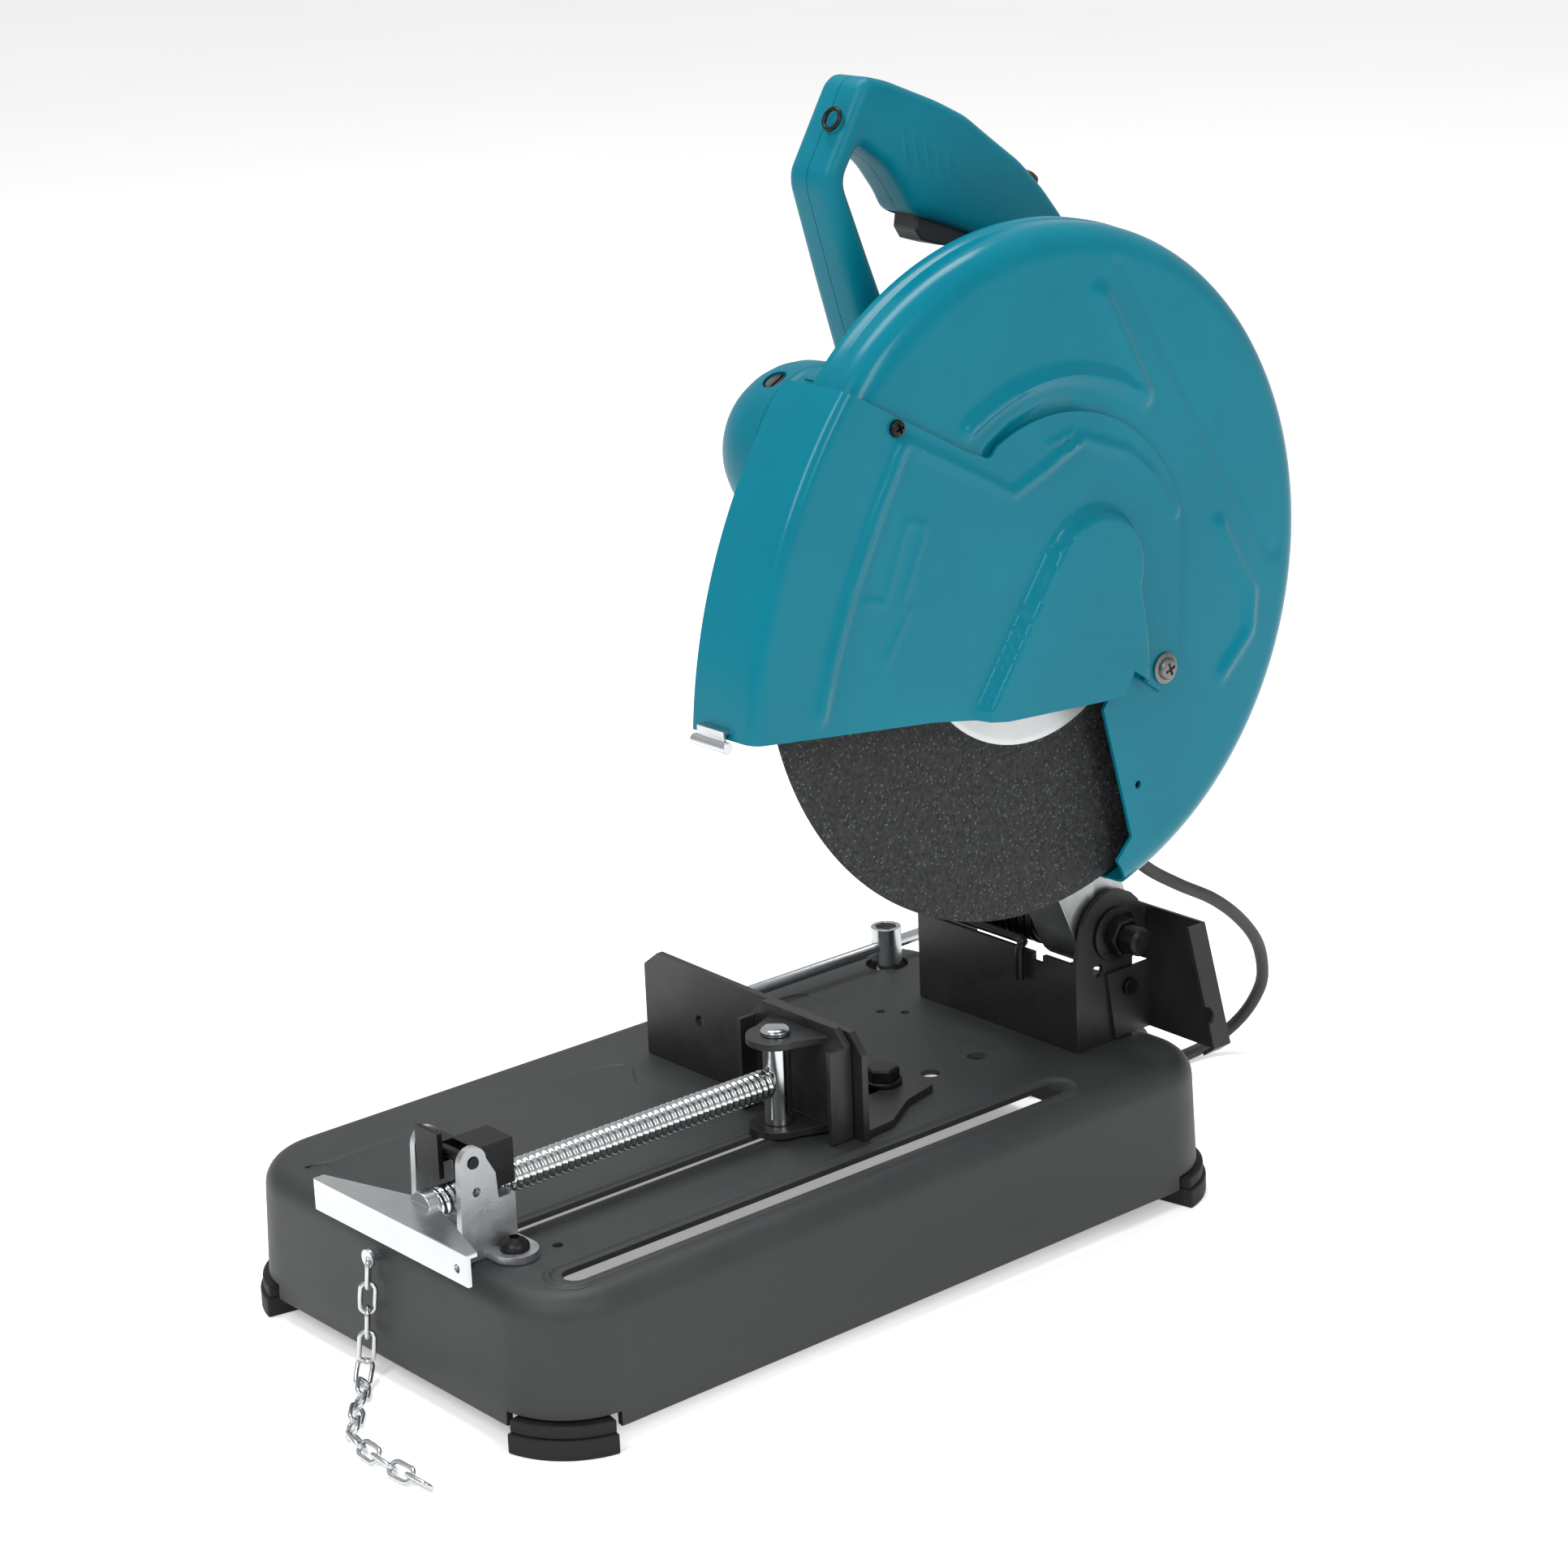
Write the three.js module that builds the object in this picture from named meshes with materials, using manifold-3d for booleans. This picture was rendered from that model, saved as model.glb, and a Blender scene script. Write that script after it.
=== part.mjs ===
// Abrasive chop saw: a pressed base with a quick-release vise and a swivelling guide plate, and a
// sprung head that carries the motor, the reduction gears, the guards and a 355 mm cutting wheel.
// Millimetres. x: to the operator's right, y: away from the operator, z: up.

import * as THREE from 'three';
import { mergeVertices } from 'three/addons/utils/BufferGeometryUtils.js';
import Module from 'manifold-3d';

const wasm = await Module();
wasm.setup();

// ---------------------------------------------------------------- driving dimensions

const fit = 0.3;                  // gap between two pieces that touch
const running = 0.4;              // gap round a pin or shaft that turns

const baseWidth = 276;
const baseLength = 466;
const baseBottom = 11.3;
const tableTop = 82.6;
const baseCorner = 42;
const baseWall = 3;
const baseDraft = 3;              // how far the skirt spreads towards its lower edge

const footRadius = 50;
const footTop = 18;
const footSpread = 34;            // degrees to each side of the corner's diagonal

const pivotY = 203;
const pivotZ = 146;
const bracketLeft = -44;
const bracketRight = 84;
const bracketFront = 174;
const bracketBack = 217;
const bracketSheet = 3;
const bracketFrontTop = 134;
const earRadius = 25;
const pivotBoltRadius = 8;

const wheelX = 110;
const wheelY = 118;
const wheelZ = 365.6;
const wheelRadius = 177.5;
const wheelThickness = 3;
const wheelBore = 12.7;
const slotWidth = 14;
const slotFront = -203;
const slotBack = 136;

const motorY = 158;
const motorZ = 399;
const motorRadius = 50;
const motorWall = 4;
const motorBack = 45.7;           // where the motor casing meets the gear case
const coverJoint = -95;           // where the casing meets its end cover
const motorEnd = -146;

const guardY = 121;
const guardZ = 369;
const guardRadius = 185;
const guardSheet = 2;
const guardInner = 102;
const guardOuter = 131;

const coverPivotY = 194;
const coverPivotZ = 310;
const coverInner = 88;
const coverSheet = 2;
const coverBandRadius = 284;      // the front band is round the screw that the cover turns on
const coverBandTop = 138.7;       // degrees
const coverBandEnd = 175.6;

const handleX = 45;
const handleHalf = 15;

const viseX = 47;
const viseZ = 112;
const screwRadius = 7.8;
const visePinY = -11;
const visePinRadius = 7.5;
const screwFront = -234;

const guideFace = 10;
const guideSheet = 4;
const guideLeft = -90;
const guideRight = 91;
const guideTop = 145;
const guidePivot = [-80, 40];
const guideBolt = [44.6, 64.7];

const gearTeeth = 45;
const pinionTeeth = 8;

const cordRadius = 3.75;
const coilCentre = [-62, 302];
const coilInner = 26;
const coilTurn = 56.75;           // radius of the outermost turn's centre line
const coilOuter = coilTurn + cordRadius + 0.5;
const coilHeight = 4 * cordRadius + 1;

// ---------------------------------------------------------------- finishes

const finish = (color, roughness, metalness) => ({ color, roughness, metalness });
const tealPaint = finish(0x00869b, 0.3, 0.1);
const tealPlastic = finish(0x007f92, 0.45, 0);
const darkPaint = finish(0x3a3b3b, 0.7, 0.1);
const blackSteel = finish(0x1c1c1d, 0.5, 0.6);
const blackPlastic = finish(0x202021, 0.6, 0);
const zincPlate = finish(0xc9ced2, 0.3, 0.9);
const castAluminium = finish(0xb9bcbe, 0.5, 0.8);
const abrasive = finish(0x333435, 0.95, 0);
const rubber = finish(0x191919, 0.85, 0);
const copper = finish(0xb5693a, 0.4, 0.9);

// ---------------------------------------------------------------- solids

const head = new THREE.Group();
const saw = new THREE.Group();
saw.add(head);

function toSolid(geometry) {
  const plain = geometry.clone();
  plain.deleteAttribute('normal');
  plain.deleteAttribute('uv');
  const merged = mergeVertices(plain, 1e-4);
  const vertProperties = new Float32Array(merged.attributes.position.array);
  const triVerts = new Uint32Array(merged.index.array);
  return new wasm.Manifold(new wasm.Mesh({ numProp: 3, vertProperties, triVerts }));
}

function toGeometry(solid) {
  const mesh = solid.getMesh();
  const geometry = new THREE.BufferGeometry();
  geometry.setAttribute('position', new THREE.BufferAttribute(mesh.vertProperties, 3));
  geometry.setIndex(new THREE.BufferAttribute(mesh.triVerts, 1));
  geometry.computeVertexNormals();
  return geometry;
}

const cut = (body, ...tools) => tools.reduce((left, tool) => left.subtract(tool), body);
const join = (body, ...others) => others.reduce((left, other) => left.add(other), body);

function add(parent, name, solid, look) {
  const mesh = new THREE.Mesh(toGeometry(solid), new THREE.MeshStandardMaterial(look));
  mesh.name = name;
  parent.add(mesh);
}

// A block between two corners.
function block([x0, y0, z0], [x1, y1, z1]) {
  const geometry = new THREE.BoxGeometry(x1 - x0, y1 - y0, z1 - z0);
  geometry.translate((x0 + x1) / 2, (y0 + y1) / 2, (z0 + z1) / 2);
  return toSolid(geometry);
}

// A straight round rod between two points; endRadius makes it a cone.
function rod(from, to, radius, sides = 14, endRadius = radius) {
  const a = new THREE.Vector3(...from);
  const b = new THREE.Vector3(...to);
  const geometry = new THREE.CylinderGeometry(endRadius, radius, a.distanceTo(b), sides);
  const up = new THREE.Vector3(0, 1, 0);
  geometry.applyQuaternion(new THREE.Quaternion().setFromUnitVectors(up, b.clone().sub(a).normalize()));
  geometry.translate((a.x + b.x) / 2, (a.y + b.y) / 2, (a.z + b.z) / 2);
  return toSolid(geometry);
}

// A round bar along x, about a centre given by its y and z.
const barX = ([y, z], radius, x0, x1, sides) => rod([x0, y, z], [x1, y, z], radius, sides);

// A round bar along z.
const barZ = ([x, y], radius, z0, z1, sides) => rod([x, y, z0], [x, y, z1], radius, sides);

function outline(points) {
  return new THREE.Shape(points.map(([u, v]) => new THREE.Vector2(u, v)));
}

// A plate whose outline is drawn in y and z, between two values of x.
function plateX(shape, x0, x1, bevel = 0, bevelSteps = 2) {
  const settings = { depth: x1 - x0 - 2 * bevel, bevelEnabled: bevel > 0, curveSegments: 10 };
  Object.assign(settings, { bevelSize: bevel, bevelThickness: bevel, bevelSegments: bevelSteps });
  settings.bevelOffset = -bevel;
  const geometry = new THREE.ExtrudeGeometry(shape, settings);
  geometry.translate(0, 0, x0 + bevel);
  const turn = new THREE.Matrix4();
  turn.makeBasis(new THREE.Vector3(0, 1, 0), new THREE.Vector3(0, 0, 1), new THREE.Vector3(1, 0, 0));
  geometry.applyMatrix4(turn);
  return toSolid(geometry);
}

// A plate whose outline is drawn in x and y, between two values of z.
function plateZ(shape, z0, z1) {
  const settings = { depth: z1 - z0, bevelEnabled: false, curveSegments: 8 };
  const geometry = new THREE.ExtrudeGeometry(shape, settings);
  geometry.translate(0, 0, z0);
  return toSolid(geometry);
}

// A plate whose outline is drawn in x and z, between two values of y.
function plateY(shape, y0, y1) {
  const settings = { depth: y1 - y0, bevelEnabled: false, curveSegments: 8 };
  const geometry = new THREE.ExtrudeGeometry(shape, settings);
  geometry.rotateX(Math.PI / 2);
  geometry.translate(0, y1, 0);
  return toSolid(geometry);
}

// A turned piece about an axis along x: pairs of x and radius, from axis to axis, x rising.
function turnedX(profile, [y, z], sides = 24) {
  const points = profile.map(([x, radius]) => new THREE.Vector2(radius, x));
  const geometry = new THREE.LatheGeometry(points, sides);
  geometry.rotateZ(-Math.PI / 2);
  geometry.translate(0, y, z);
  return toSolid(geometry);
}

// The plate round two circles and the two lines that touch both.
function strap([ay, az], ra, [by, bz], rb, x0, x1, steps = 12) {
  const distance = Math.hypot(by - ay, bz - az);
  const towards = Math.atan2(bz - az, by - ay);
  const lean = Math.acos((ra - rb) / distance);
  const points = [];
  for (let i = 0; i <= steps; i += 1) {
    const angle = towards + lean + (i / steps) * 2 * (Math.PI - lean);
    points.push([ay + ra * Math.cos(angle), az + ra * Math.sin(angle)]);
  }
  for (let i = 0; i <= steps; i += 1) {
    const angle = towards - lean + (i / steps) * 2 * lean;
    points.push([by + rb * Math.cos(angle), bz + rb * Math.sin(angle)]);
  }
  return plateX(outline(points), x0, x1);
}

// A bent rod or wire along a smooth curve.
function bentRod(points, radius, sides, steps, tension = 0.5) {
  const stops = points.map((p) => new THREE.Vector3(...p));
  const path = new THREE.CatmullRomCurve3(stops, false, 'catmullrom', tension);
  const section = [];
  for (let i = 0; i < sides; i += 1) {
    const angle = (i / sides) * 2 * Math.PI;
    section.push([radius * Math.cos(angle), radius * Math.sin(angle)]);
  }
  const settings = { steps, extrudePath: path, bevelEnabled: false };
  return toSolid(new THREE.ExtrudeGeometry(outline(section), settings));
}

// A tube with flat ends about an axis along x.
function ringX(centre, inner, outer, x0, x1, sides = 18) {
  return cut(barX(centre, outer, x0, x1, sides), barX(centre, inner, x0 - 1, x1 + 1, sides));
}

function hexagonZ([x, y], radius, z0, z1) {
  return barZ([x, y], radius, z0, z1, 6);
}

function arcPoints([cy, cz], radius, startDegrees, endDegrees, steps) {
  const points = [];
  for (let i = 0; i <= steps; i += 1) {
    const angle = THREE.MathUtils.degToRad(startDegrees + ((endDegrees - startDegrees) * i) / steps);
    points.push([cy + radius * Math.cos(angle), cz + radius * Math.sin(angle)]);
  }
  return points;
}

// ---------------------------------------------------------------- base and feet

function roundedRectangle(width, length, corner) {
  const shape = new THREE.Shape();
  const x = width / 2 - corner;
  const y = length / 2 - corner;
  shape.absarc(x, y, corner, 0, Math.PI / 2);
  shape.absarc(-x, y, corner, Math.PI / 2, Math.PI);
  shape.absarc(-x, -y, corner, Math.PI, 1.5 * Math.PI);
  shape.absarc(x, -y, corner, 1.5 * Math.PI, 2 * Math.PI);
  return shape;
}

// A rounded box with a soft upper edge, whose sides spread towards the bottom.
function pan(width, length, corner, z0, z1, edge) {
  const depth = z1 - z0 - edge;
  const settings = { depth, bevelEnabled: true, bevelSize: edge, bevelThickness: edge };
  Object.assign(settings, { bevelOffset: -edge, bevelSegments: 2, curveSegments: 5 });
  const geometry = new THREE.ExtrudeGeometry(roundedRectangle(width, length, corner), settings);
  geometry.translate(0, 0, z0);
  const place = geometry.attributes.position;
  for (let i = 0; i < place.count; i += 1) {
    const drop = (z1 - place.getZ(i)) / (z1 - z0);
    place.setX(i, place.getX(i) * (1 + (2 * baseDraft * drop) / width));
    place.setY(i, place.getY(i) * (1 + (2 * baseDraft * drop) / length));
  }
  const lower = block([-width, -length, z0], [width, length, z1]);
  return toSolid(geometry).intersect(lower);
}

// The corner sector that a foot fills, about the corner's own centre.
function cornerSector(sideX, sideY, inner, outer, spread, z0, z1) {
  const centre = [sideX * (baseWidth / 2 - baseCorner), sideY * (baseLength / 2 - baseCorner)];
  const middle = THREE.MathUtils.radToDeg(Math.atan2(sideY, sideX));
  const points = arcPoints(centre, outer, middle - spread, middle + spread, 6);
  points.push(...arcPoints(centre, inner, middle + spread, middle - spread, 3));
  return plateZ(outline(points), z0, z1);
}

const corners = [
  ['front_left', -1, -1], ['front_right', 1, -1], ['rear_left', -1, 1], ['rear_right', 1, 1],
];

const wrenchAt = [-98, 197];
const wrenchPocket = 12.6;
const bracketBolts = [[viseX + 25, -204], [viseX - 33, -204]];
const chainTop = [-5, -baseLength / 2 - baseDraft, 68];
const tableHoles = [[46, 98.8], [46, 133.4], [-42.5, 141.9], [-31.5, 150.7], [76.8, -181.5]];

function slotZ([x0, y0], [x1, y1], radius, z0, z1) {
  const angle = Math.atan2(y1 - y0, x1 - x0);
  const shape = new THREE.Shape();
  shape.absarc(x1, y1, radius, angle - Math.PI / 2, angle + Math.PI / 2);
  shape.absarc(x0, y0, radius, angle + Math.PI / 2, angle + 1.5 * Math.PI);
  return plateZ(shape, z0, z1);
}

function makeBase() {
  const below = baseBottom - 1;
  const above = tableTop + 1;
  const outer = pan(baseWidth, baseLength, baseCorner, baseBottom, tableTop, 14);
  const inside = pan(baseWidth - 2 * baseWall, baseLength - 2 * baseWall, baseCorner - baseWall,
    below, tableTop - baseWall, 12);
  let shell = cut(outer, inside);
  const half = slotWidth / 2;
  shell = cut(shell, slotZ([wheelX, slotFront + half], [wheelX, slotBack - half], half, below, above));
  shell = cut(shell, slotZ([viseX - 1, -196], [viseX - 1, -8], 5, below, above));
  shell = cut(shell, barZ(wrenchAt, wrenchPocket, below, above, 12));
  for (const bolt of [guideBolt, guidePivot]) {
    shell = cut(shell, barZ(bolt, 5 + fit, below, above, 12));
  }
  for (const bolt of bracketBolts) {
    shell = cut(shell, barZ(bolt, 4 + fit, below, above, 12));
  }
  for (const hole of tableHoles) {
    shell = cut(shell, barZ(hole, 3.5, below, above, 6));
  }
  const [eyeX, eyeY, eyeZ] = chainTop;
  shell = cut(shell, rod([eyeX, eyeY - 8, eyeZ], [eyeX, eyeY + 16, eyeZ], 2.5 + fit, 10));
  for (const [, sideX, sideY] of corners) {
    const spread = footSpread + 2;
    shell = cut(shell, cornerSector(sideX, sideY, 20, footRadius + 5, spread, below, footTop + fit));
  }
  return shell;
}

add(saw, 'base_shell', makeBase(), darkPaint);

for (const [place, sideX, sideY] of corners) {
  const foot = cornerSector(sideX, sideY, 22, footRadius, footSpread, 0, footTop);
  add(saw, `foot_${place}`, foot, rubber);
}

// ---------------------------------------------------------------- pivot bracket, bolt and spring

const pivot = [pivotY, pivotZ];
const bracketFloor = tableTop + fit;

function makeBracket() {
  const ear = [[bracketFront, bracketFloor], [bracketBack, bracketFloor], [bracketBack + 1, pivotZ - 18]];
  ear.push(...arcPoints(pivot, earRadius, -30, 175, 12));
  ear.push([bracketFront, bracketFrontTop]);
  const shape = outline(ear);
  const left = plateX(shape, bracketLeft, bracketLeft + bracketSheet);
  const right = plateX(shape, bracketRight - bracketSheet, bracketRight);
  const frontBack = bracketFront + bracketSheet;
  const front = block([bracketLeft, bracketFront, bracketFloor], [bracketRight, frontBack, bracketFrontTop]);
  const floorTop = bracketFloor + bracketSheet;
  const floor = block([bracketLeft, bracketFront, bracketFloor], [bracketRight, bracketBack, floorTop]);
  const bore = barX(pivot, pivotBoltRadius + running, bracketLeft - 1, bracketRight + 1, 20);
  const window = barX([191, 127], 4, bracketLeft - 1, bracketRight + 1, 12);
  const screwHole = barX(sparkScrewAt, 3 + fit, bracketRight - 6, bracketRight + 1, 10);
  const notch = block([50, bracketFront - 1, bracketFrontTop - 5], [58, frontBack + 1, bracketFrontTop + 1]);
  return cut(join(left, right, front, floor), bore, window, screwHole, notch);
}

const sparkScrewAt = [212, 113];
add(saw, 'pivot_bracket', makeBracket(), blackSteel);

const boltHead = 9;
const nutStart = bracketRight + fit;
const nutEnd = nutStart + 13;

function makePivotBolt() {
  const headStart = bracketLeft - fit - boltHead;
  const hexHead = barX(pivot, 13, headStart, bracketLeft - fit, 6);
  const shank = barX(pivot, pivotBoltRadius, bracketLeft - fit - 1, nutEnd + 2, 20);
  return join(hexHead, shank);
}

function makePivotNut() {
  const flange = barX(pivot, 15.5, nutStart, nutStart + 3, 24);
  const hex = barX(pivot, 12, nutStart + 2, nutEnd, 6);
  return cut(join(flange, hex), barX(pivot, pivotBoltRadius + fit, nutStart - 1, nutEnd + 1, 20));
}

add(saw, 'pivot_bolt', makePivotBolt(), blackSteel);
add(saw, 'pivot_nut', makePivotNut(), blackSteel);

const hubRadius = 13;
const springWire = 2.2;
const springMean = hubRadius + running + springWire + 0.7;
const springTurns = 11;
const springStart = -28;
const springPitch = 6.1;

// The torsion spring that lifts the head, round the hub between the bracket's ears.
function makeSpring() {
  const perTurn = 8;
  const points = [];
  for (let i = 0; i <= springTurns * perTurn; i += 1) {
    const angle = (i / perTurn) * 2 * Math.PI;
    const x = springStart + (i / perTurn) * springPitch;
    points.push([x, pivotY + springMean * Math.cos(angle), pivotZ + springMean * Math.sin(angle)]);
  }
  return bentRod(points, springWire, 5, springTurns * perTurn);
}

add(saw, 'torsion_spring', makeSpring(), blackSteel);

function makeSpringRod() {
  const top = bracketFrontTop + 3.2;
  const behind = bracketFront + bracketSheet + 1;
  const front = bracketFront - 3.5;
  const run = [[-34, behind, top], [0, behind, top], [34, behind, top], [41, behind - 2, top]];
  run.push([43, front + 1, top - 0.5], [43, front, top - 6], [43, front, top - 20]);
  return bentRod(run, 2.5, 8, 16);
}

add(saw, 'spring_rod', makeSpringRod(), blackSteel);

// ---------------------------------------------------------------- spark guard

function makeSparkGuard() {
  const sheet = 2;
  const x0 = bracketRight + fit;
  const back = bracketBack + 12;
  const flange = [[196, 124], [202, 84.5], [back, 84.5], [back, 124]];
  const side = plateX(outline(flange), x0, x0 + sheet);
  const panel = outline([[x0, 84.5], [138, 80 + 4], [146, 90], [127, 156], [76, 156], [76, 124], [x0, 124]]);
  const plate = plateY(panel, back, back + sheet);
  const lip = outline([[138, 84], [146, 90], [127, 156], [124.9, 155.4], [143.8, 90.8], [136.8, 85.7]]);
  const edge = plateY(lip, back - 11, back + sheet);
  const hole = barX(sparkScrewAt, 3 + fit, x0 - 1, x0 + sheet + 1, 10);
  const notch = rod([148, back - 11, 108], [132, back - 11, 108], 5, 12);
  return cut(join(side, plate, edge), hole, notch);
}

add(saw, 'spark_guard', makeSparkGuard(), blackSteel);

function makeSparkScrew() {
  const start = bracketRight + fit + 2 + fit;
  const screwHead = barX(sparkScrewAt, 5, start, start + 3, 12);
  return join(screwHead, barX(sparkScrewAt, 3, bracketRight - bracketSheet - 2, start + 1, 12));
}

add(saw, 'spark_guard_screw', makeSparkScrew(), blackSteel);

// ---------------------------------------------------------------- guide plate

const guideFloor = tableTop + fit;
const guideSwing = 15;            // degrees that the slot allows

function makeGuidePlate() {
  const top = guideTop;
  const face = [[guideLeft, guideFloor], [guideRight, guideFloor], [guideRight, top - 14], [guideRight - 9, top - 3],
    [guideLeft + 12, top], [guideLeft, top - 9]];
  const wall = plateY(outline(face), guideFace, guideFace + guideSheet);
  const flange = [[guideLeft, guideFace], [guideRight - 2, guideFace], [guideRight - 4, 34], [72, 58], [66, 82],
    [30, 84], [12, 44], [-56, 34], [-62, 56], [guideLeft - 2, 56]];
  const foot = plateZ(outline(flange), guideFloor, guideFloor + guideSheet);
  const reach = Math.hypot(guideBolt[0] - guidePivot[0], guideBolt[1] - guidePivot[1]);
  const [boltX, boltY] = [guideBolt[0] - guidePivot[0], guideBolt[1] - guidePivot[1]];
  const rest = THREE.MathUtils.radToDeg(Math.atan2(boltY, boltX));
  const half = 5 + running;
  const slot = arcPoints(guidePivot, reach + half, rest + 3, rest - guideSwing - 3, 8);
  slot.push(...arcPoints(guidePivot, reach - half, rest - guideSwing - 3, rest + 3, 8));
  const slotCut = plateZ(outline(slot.reverse()), guideFloor - 1, guideFloor + guideSheet + 1);
  const pivotHole = barZ(guidePivot, 5 + running, guideFloor - 1, guideFloor + guideSheet + 1, 12);
  const workHole = rod([-43, guideFace - 1, 114], [-43, guideFace + guideSheet + 1, 114], 3.5, 10);
  return cut(join(wall, foot), slotCut, pivotHole, workHole);
}

add(saw, 'guide_plate', makeGuidePlate(), blackSteel);

function makeTableBolt(at, radius, seat, headRadius, headHeight) {
  const hexagon = hexagonZ(at, headRadius, seat + 2.5, seat + headHeight);
  const bolt = join(hexagon, barZ(at, headRadius, seat, seat + 3, 20));
  return join(bolt, barZ(at, radius, tableTop - 12, seat + 1, 12));
}

const guideSeat = guideFloor + guideSheet + running;
add(saw, 'guide_bolt_right', makeTableBolt(guideBolt, 5, guideSeat, 10, 9.5), blackSteel);
add(saw, 'guide_bolt_left', makeTableBolt(guidePivot, 5, guideSeat, 10, 9.5), blackSteel);

// ---------------------------------------------------------------- vise

const jawTop = 144;
const jawBottom = tableTop + 0.8;
const lugTop = 134;
const lugSheet = 4;
const lugBottom = 88;
const jawFace = guideFace - 1;

function makeVisePlate() {
  const left = viseX - 38;
  const right = viseX + 37;
  const face = [[left, jawBottom], [right, jawBottom], [right, jawTop - 8], [right - 8, jawTop], [left + 8, jawTop],
    [left, jawTop - 8]];
  let plate = plateY(outline(face), jawFace - 4, jawFace);
  for (const x of [left, right - 3]) {
    plate = join(plate, block([x, jawFace - 15, jawBottom], [x + 3, jawFace - 1, jawTop - 9]));
  }
  for (const z of [lugTop, lugBottom - lugSheet]) {
    const lug = new THREE.Shape();
    lug.moveTo(viseX + 24, jawFace - 1);
    lug.lineTo(viseX - 24, jawFace - 1);
    lug.absarc(viseX, visePinY, 16, Math.PI, 2 * Math.PI);
    plate = join(plate, plateZ(lug, z, z + lugSheet));
  }
  return cut(plate, barZ([viseX, visePinY], visePinRadius - 2.5 + fit, jawBottom - 1, jawTop, 16));
}

add(saw, 'vise_plate', makeVisePlate(), blackSteel);

// The pin's thick middle takes the screw's end; its thin ends turn in the lugs.
function makeVisePin() {
  const at = [viseX, visePinY];
  const barrel = barZ(at, visePinRadius, lugBottom + fit, lugTop - fit, 20);
  const spindle = barZ(at, visePinRadius - 2.5, lugBottom - lugSheet, lugTop + lugSheet + 1, 16);
  const cap = barZ(at, visePinRadius + 0.5, lugTop + lugSheet + fit, lugTop + lugSheet + 4, 20);
  return join(barrel, spindle, cap);
}

add(saw, 'vise_pin', makeVisePin(), zincPlate);

const screwBack = visePinY - visePinRadius - 0.5;
const viseScrew = rod([viseX, screwFront, viseZ], [viseX, screwBack, viseZ], screwRadius, 20);
add(saw, 'vise_screw', viseScrew, zincPlate);

const crankHalf = 65;
const crankFront = -258;

function makeViseHandle() {
  const sheet = 2.5;
  const hubFront = screwFront - fit;
  const hub = rod([viseX, hubFront - 7, viseZ], [viseX, hubFront, viseZ], screwRadius + 1, 16);
  const panel = [[viseX - crankHalf, crankFront], [viseX + crankHalf, crankFront], [viseX + crankHalf, crankFront + 4],
    [viseX + 12, hubFront - 3], [viseX - 12, hubFront - 3], [viseX - crankHalf, crankFront + 4]];
  const plateTop = viseZ + 2.5;
  const plate = plateZ(outline(panel), plateTop - sheet, plateTop);
  const lipLow = [viseX - crankHalf, crankFront - sheet, plateTop - 17];
  const lip = block(lipLow, [viseX + crankHalf, crankFront, plateTop]);
  const holeAt = (y) => [viseX + crankHalf - 9, y, viseZ - 7];
  const cornerHole = rod(holeAt(crankFront - 4), holeAt(crankFront + 1), 2.2, 8);
  return cut(join(hub, plate, lip), cornerHole);
}

add(saw, 'vise_handle', makeViseHandle(), zincPlate);

const nutPivot = [-220, 135];
const earRight = viseX + 13;
const earLeft = viseX - 25;
const earSheet = 4;

function makeViseBracket() {
  const low = tableTop + fit;
  const ear = [[-230, low], [-204, low], [-207, 126]];
  ear.push(...arcPoints(nutPivot, 8, 0, 180, 8));
  const shape = outline(ear);
  const right = plateX(shape, earRight, earRight + earSheet);
  const left = plateX(shape, earLeft, earLeft + earSheet);
  const floor = block([earLeft, -230, low], [earRight + earSheet, -196, low + 4]);
  const saddle = block([viseX - 12, -207, low], [earRight + earSheet, -196, viseZ]);
  const trough = rod([viseX, -232, viseZ], [viseX, -190, viseZ], screwRadius + running, 20);
  const feet = bracketBolts.map(([x, y]) => slotZ([viseX, y], [x, y], 12, low, low + 4));
  const holes = bracketBolts.map((at) => barZ(at, 4 + fit, low - 1, low + 6, 12));
  const pinHole = barX(nutPivot, 3 + running, earLeft - 1, earRight + earSheet + 1, 12);
  const lowerHole = barX([-219, 119], 2.5, earRight - 1, earRight + earSheet + 1, 10);
  return cut(join(right, left, floor, saddle, ...feet), trough, pinHole, lowerHole, ...holes);
}

add(saw, 'vise_bracket', makeViseBracket(), castAluminium);

const domeSeat = tableTop + fit + 4 + fit;
const domeProfile = [[0, 0], [7.5, 0], [7.5, 2], [6.4, 4.4], [4, 6.2], [0, 6.8]];

function makeDomeBolt([x, y]) {
  const points = domeProfile.map(([radius, height]) => new THREE.Vector2(radius, height));
  const dome = new THREE.LatheGeometry(points, 12);
  dome.rotateX(Math.PI / 2);
  dome.translate(x, y, domeSeat);
  return join(toSolid(dome), barZ([x, y], 4, tableTop - 10, domeSeat + 1, 12));
}

add(saw, 'vise_bracket_bolt_right', makeDomeBolt(bracketBolts[0]), blackSteel);
add(saw, 'vise_bracket_bolt_left', makeDomeBolt(bracketBolts[1]), blackSteel);

// The half nut sits on the screw's upper side and lifts off it when its tab is pushed.
function makeHalfNut() {
  const low = viseZ + 3;
  const body = block([viseX - 9, -214, low], [earRight - 1, -192, 139]);
  const cheek = block([earLeft + earSheet + 1, -228, 128], [viseX - 8, -212, 139]);
  const tab = block([earLeft + earSheet + 1, -228, 123], [viseX - 1, -225, 147]);
  const trough = rod([viseX, -240, viseZ], [viseX, -180, viseZ], screwRadius + running, 20);
  const pin = barX(nutPivot, 3, earLeft - 1, earRight + earSheet + 1, 12);
  return join(cut(join(body, cheek, tab), trough), pin);
}

add(saw, 'half_nut', makeHalfNut(), blackSteel);

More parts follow.
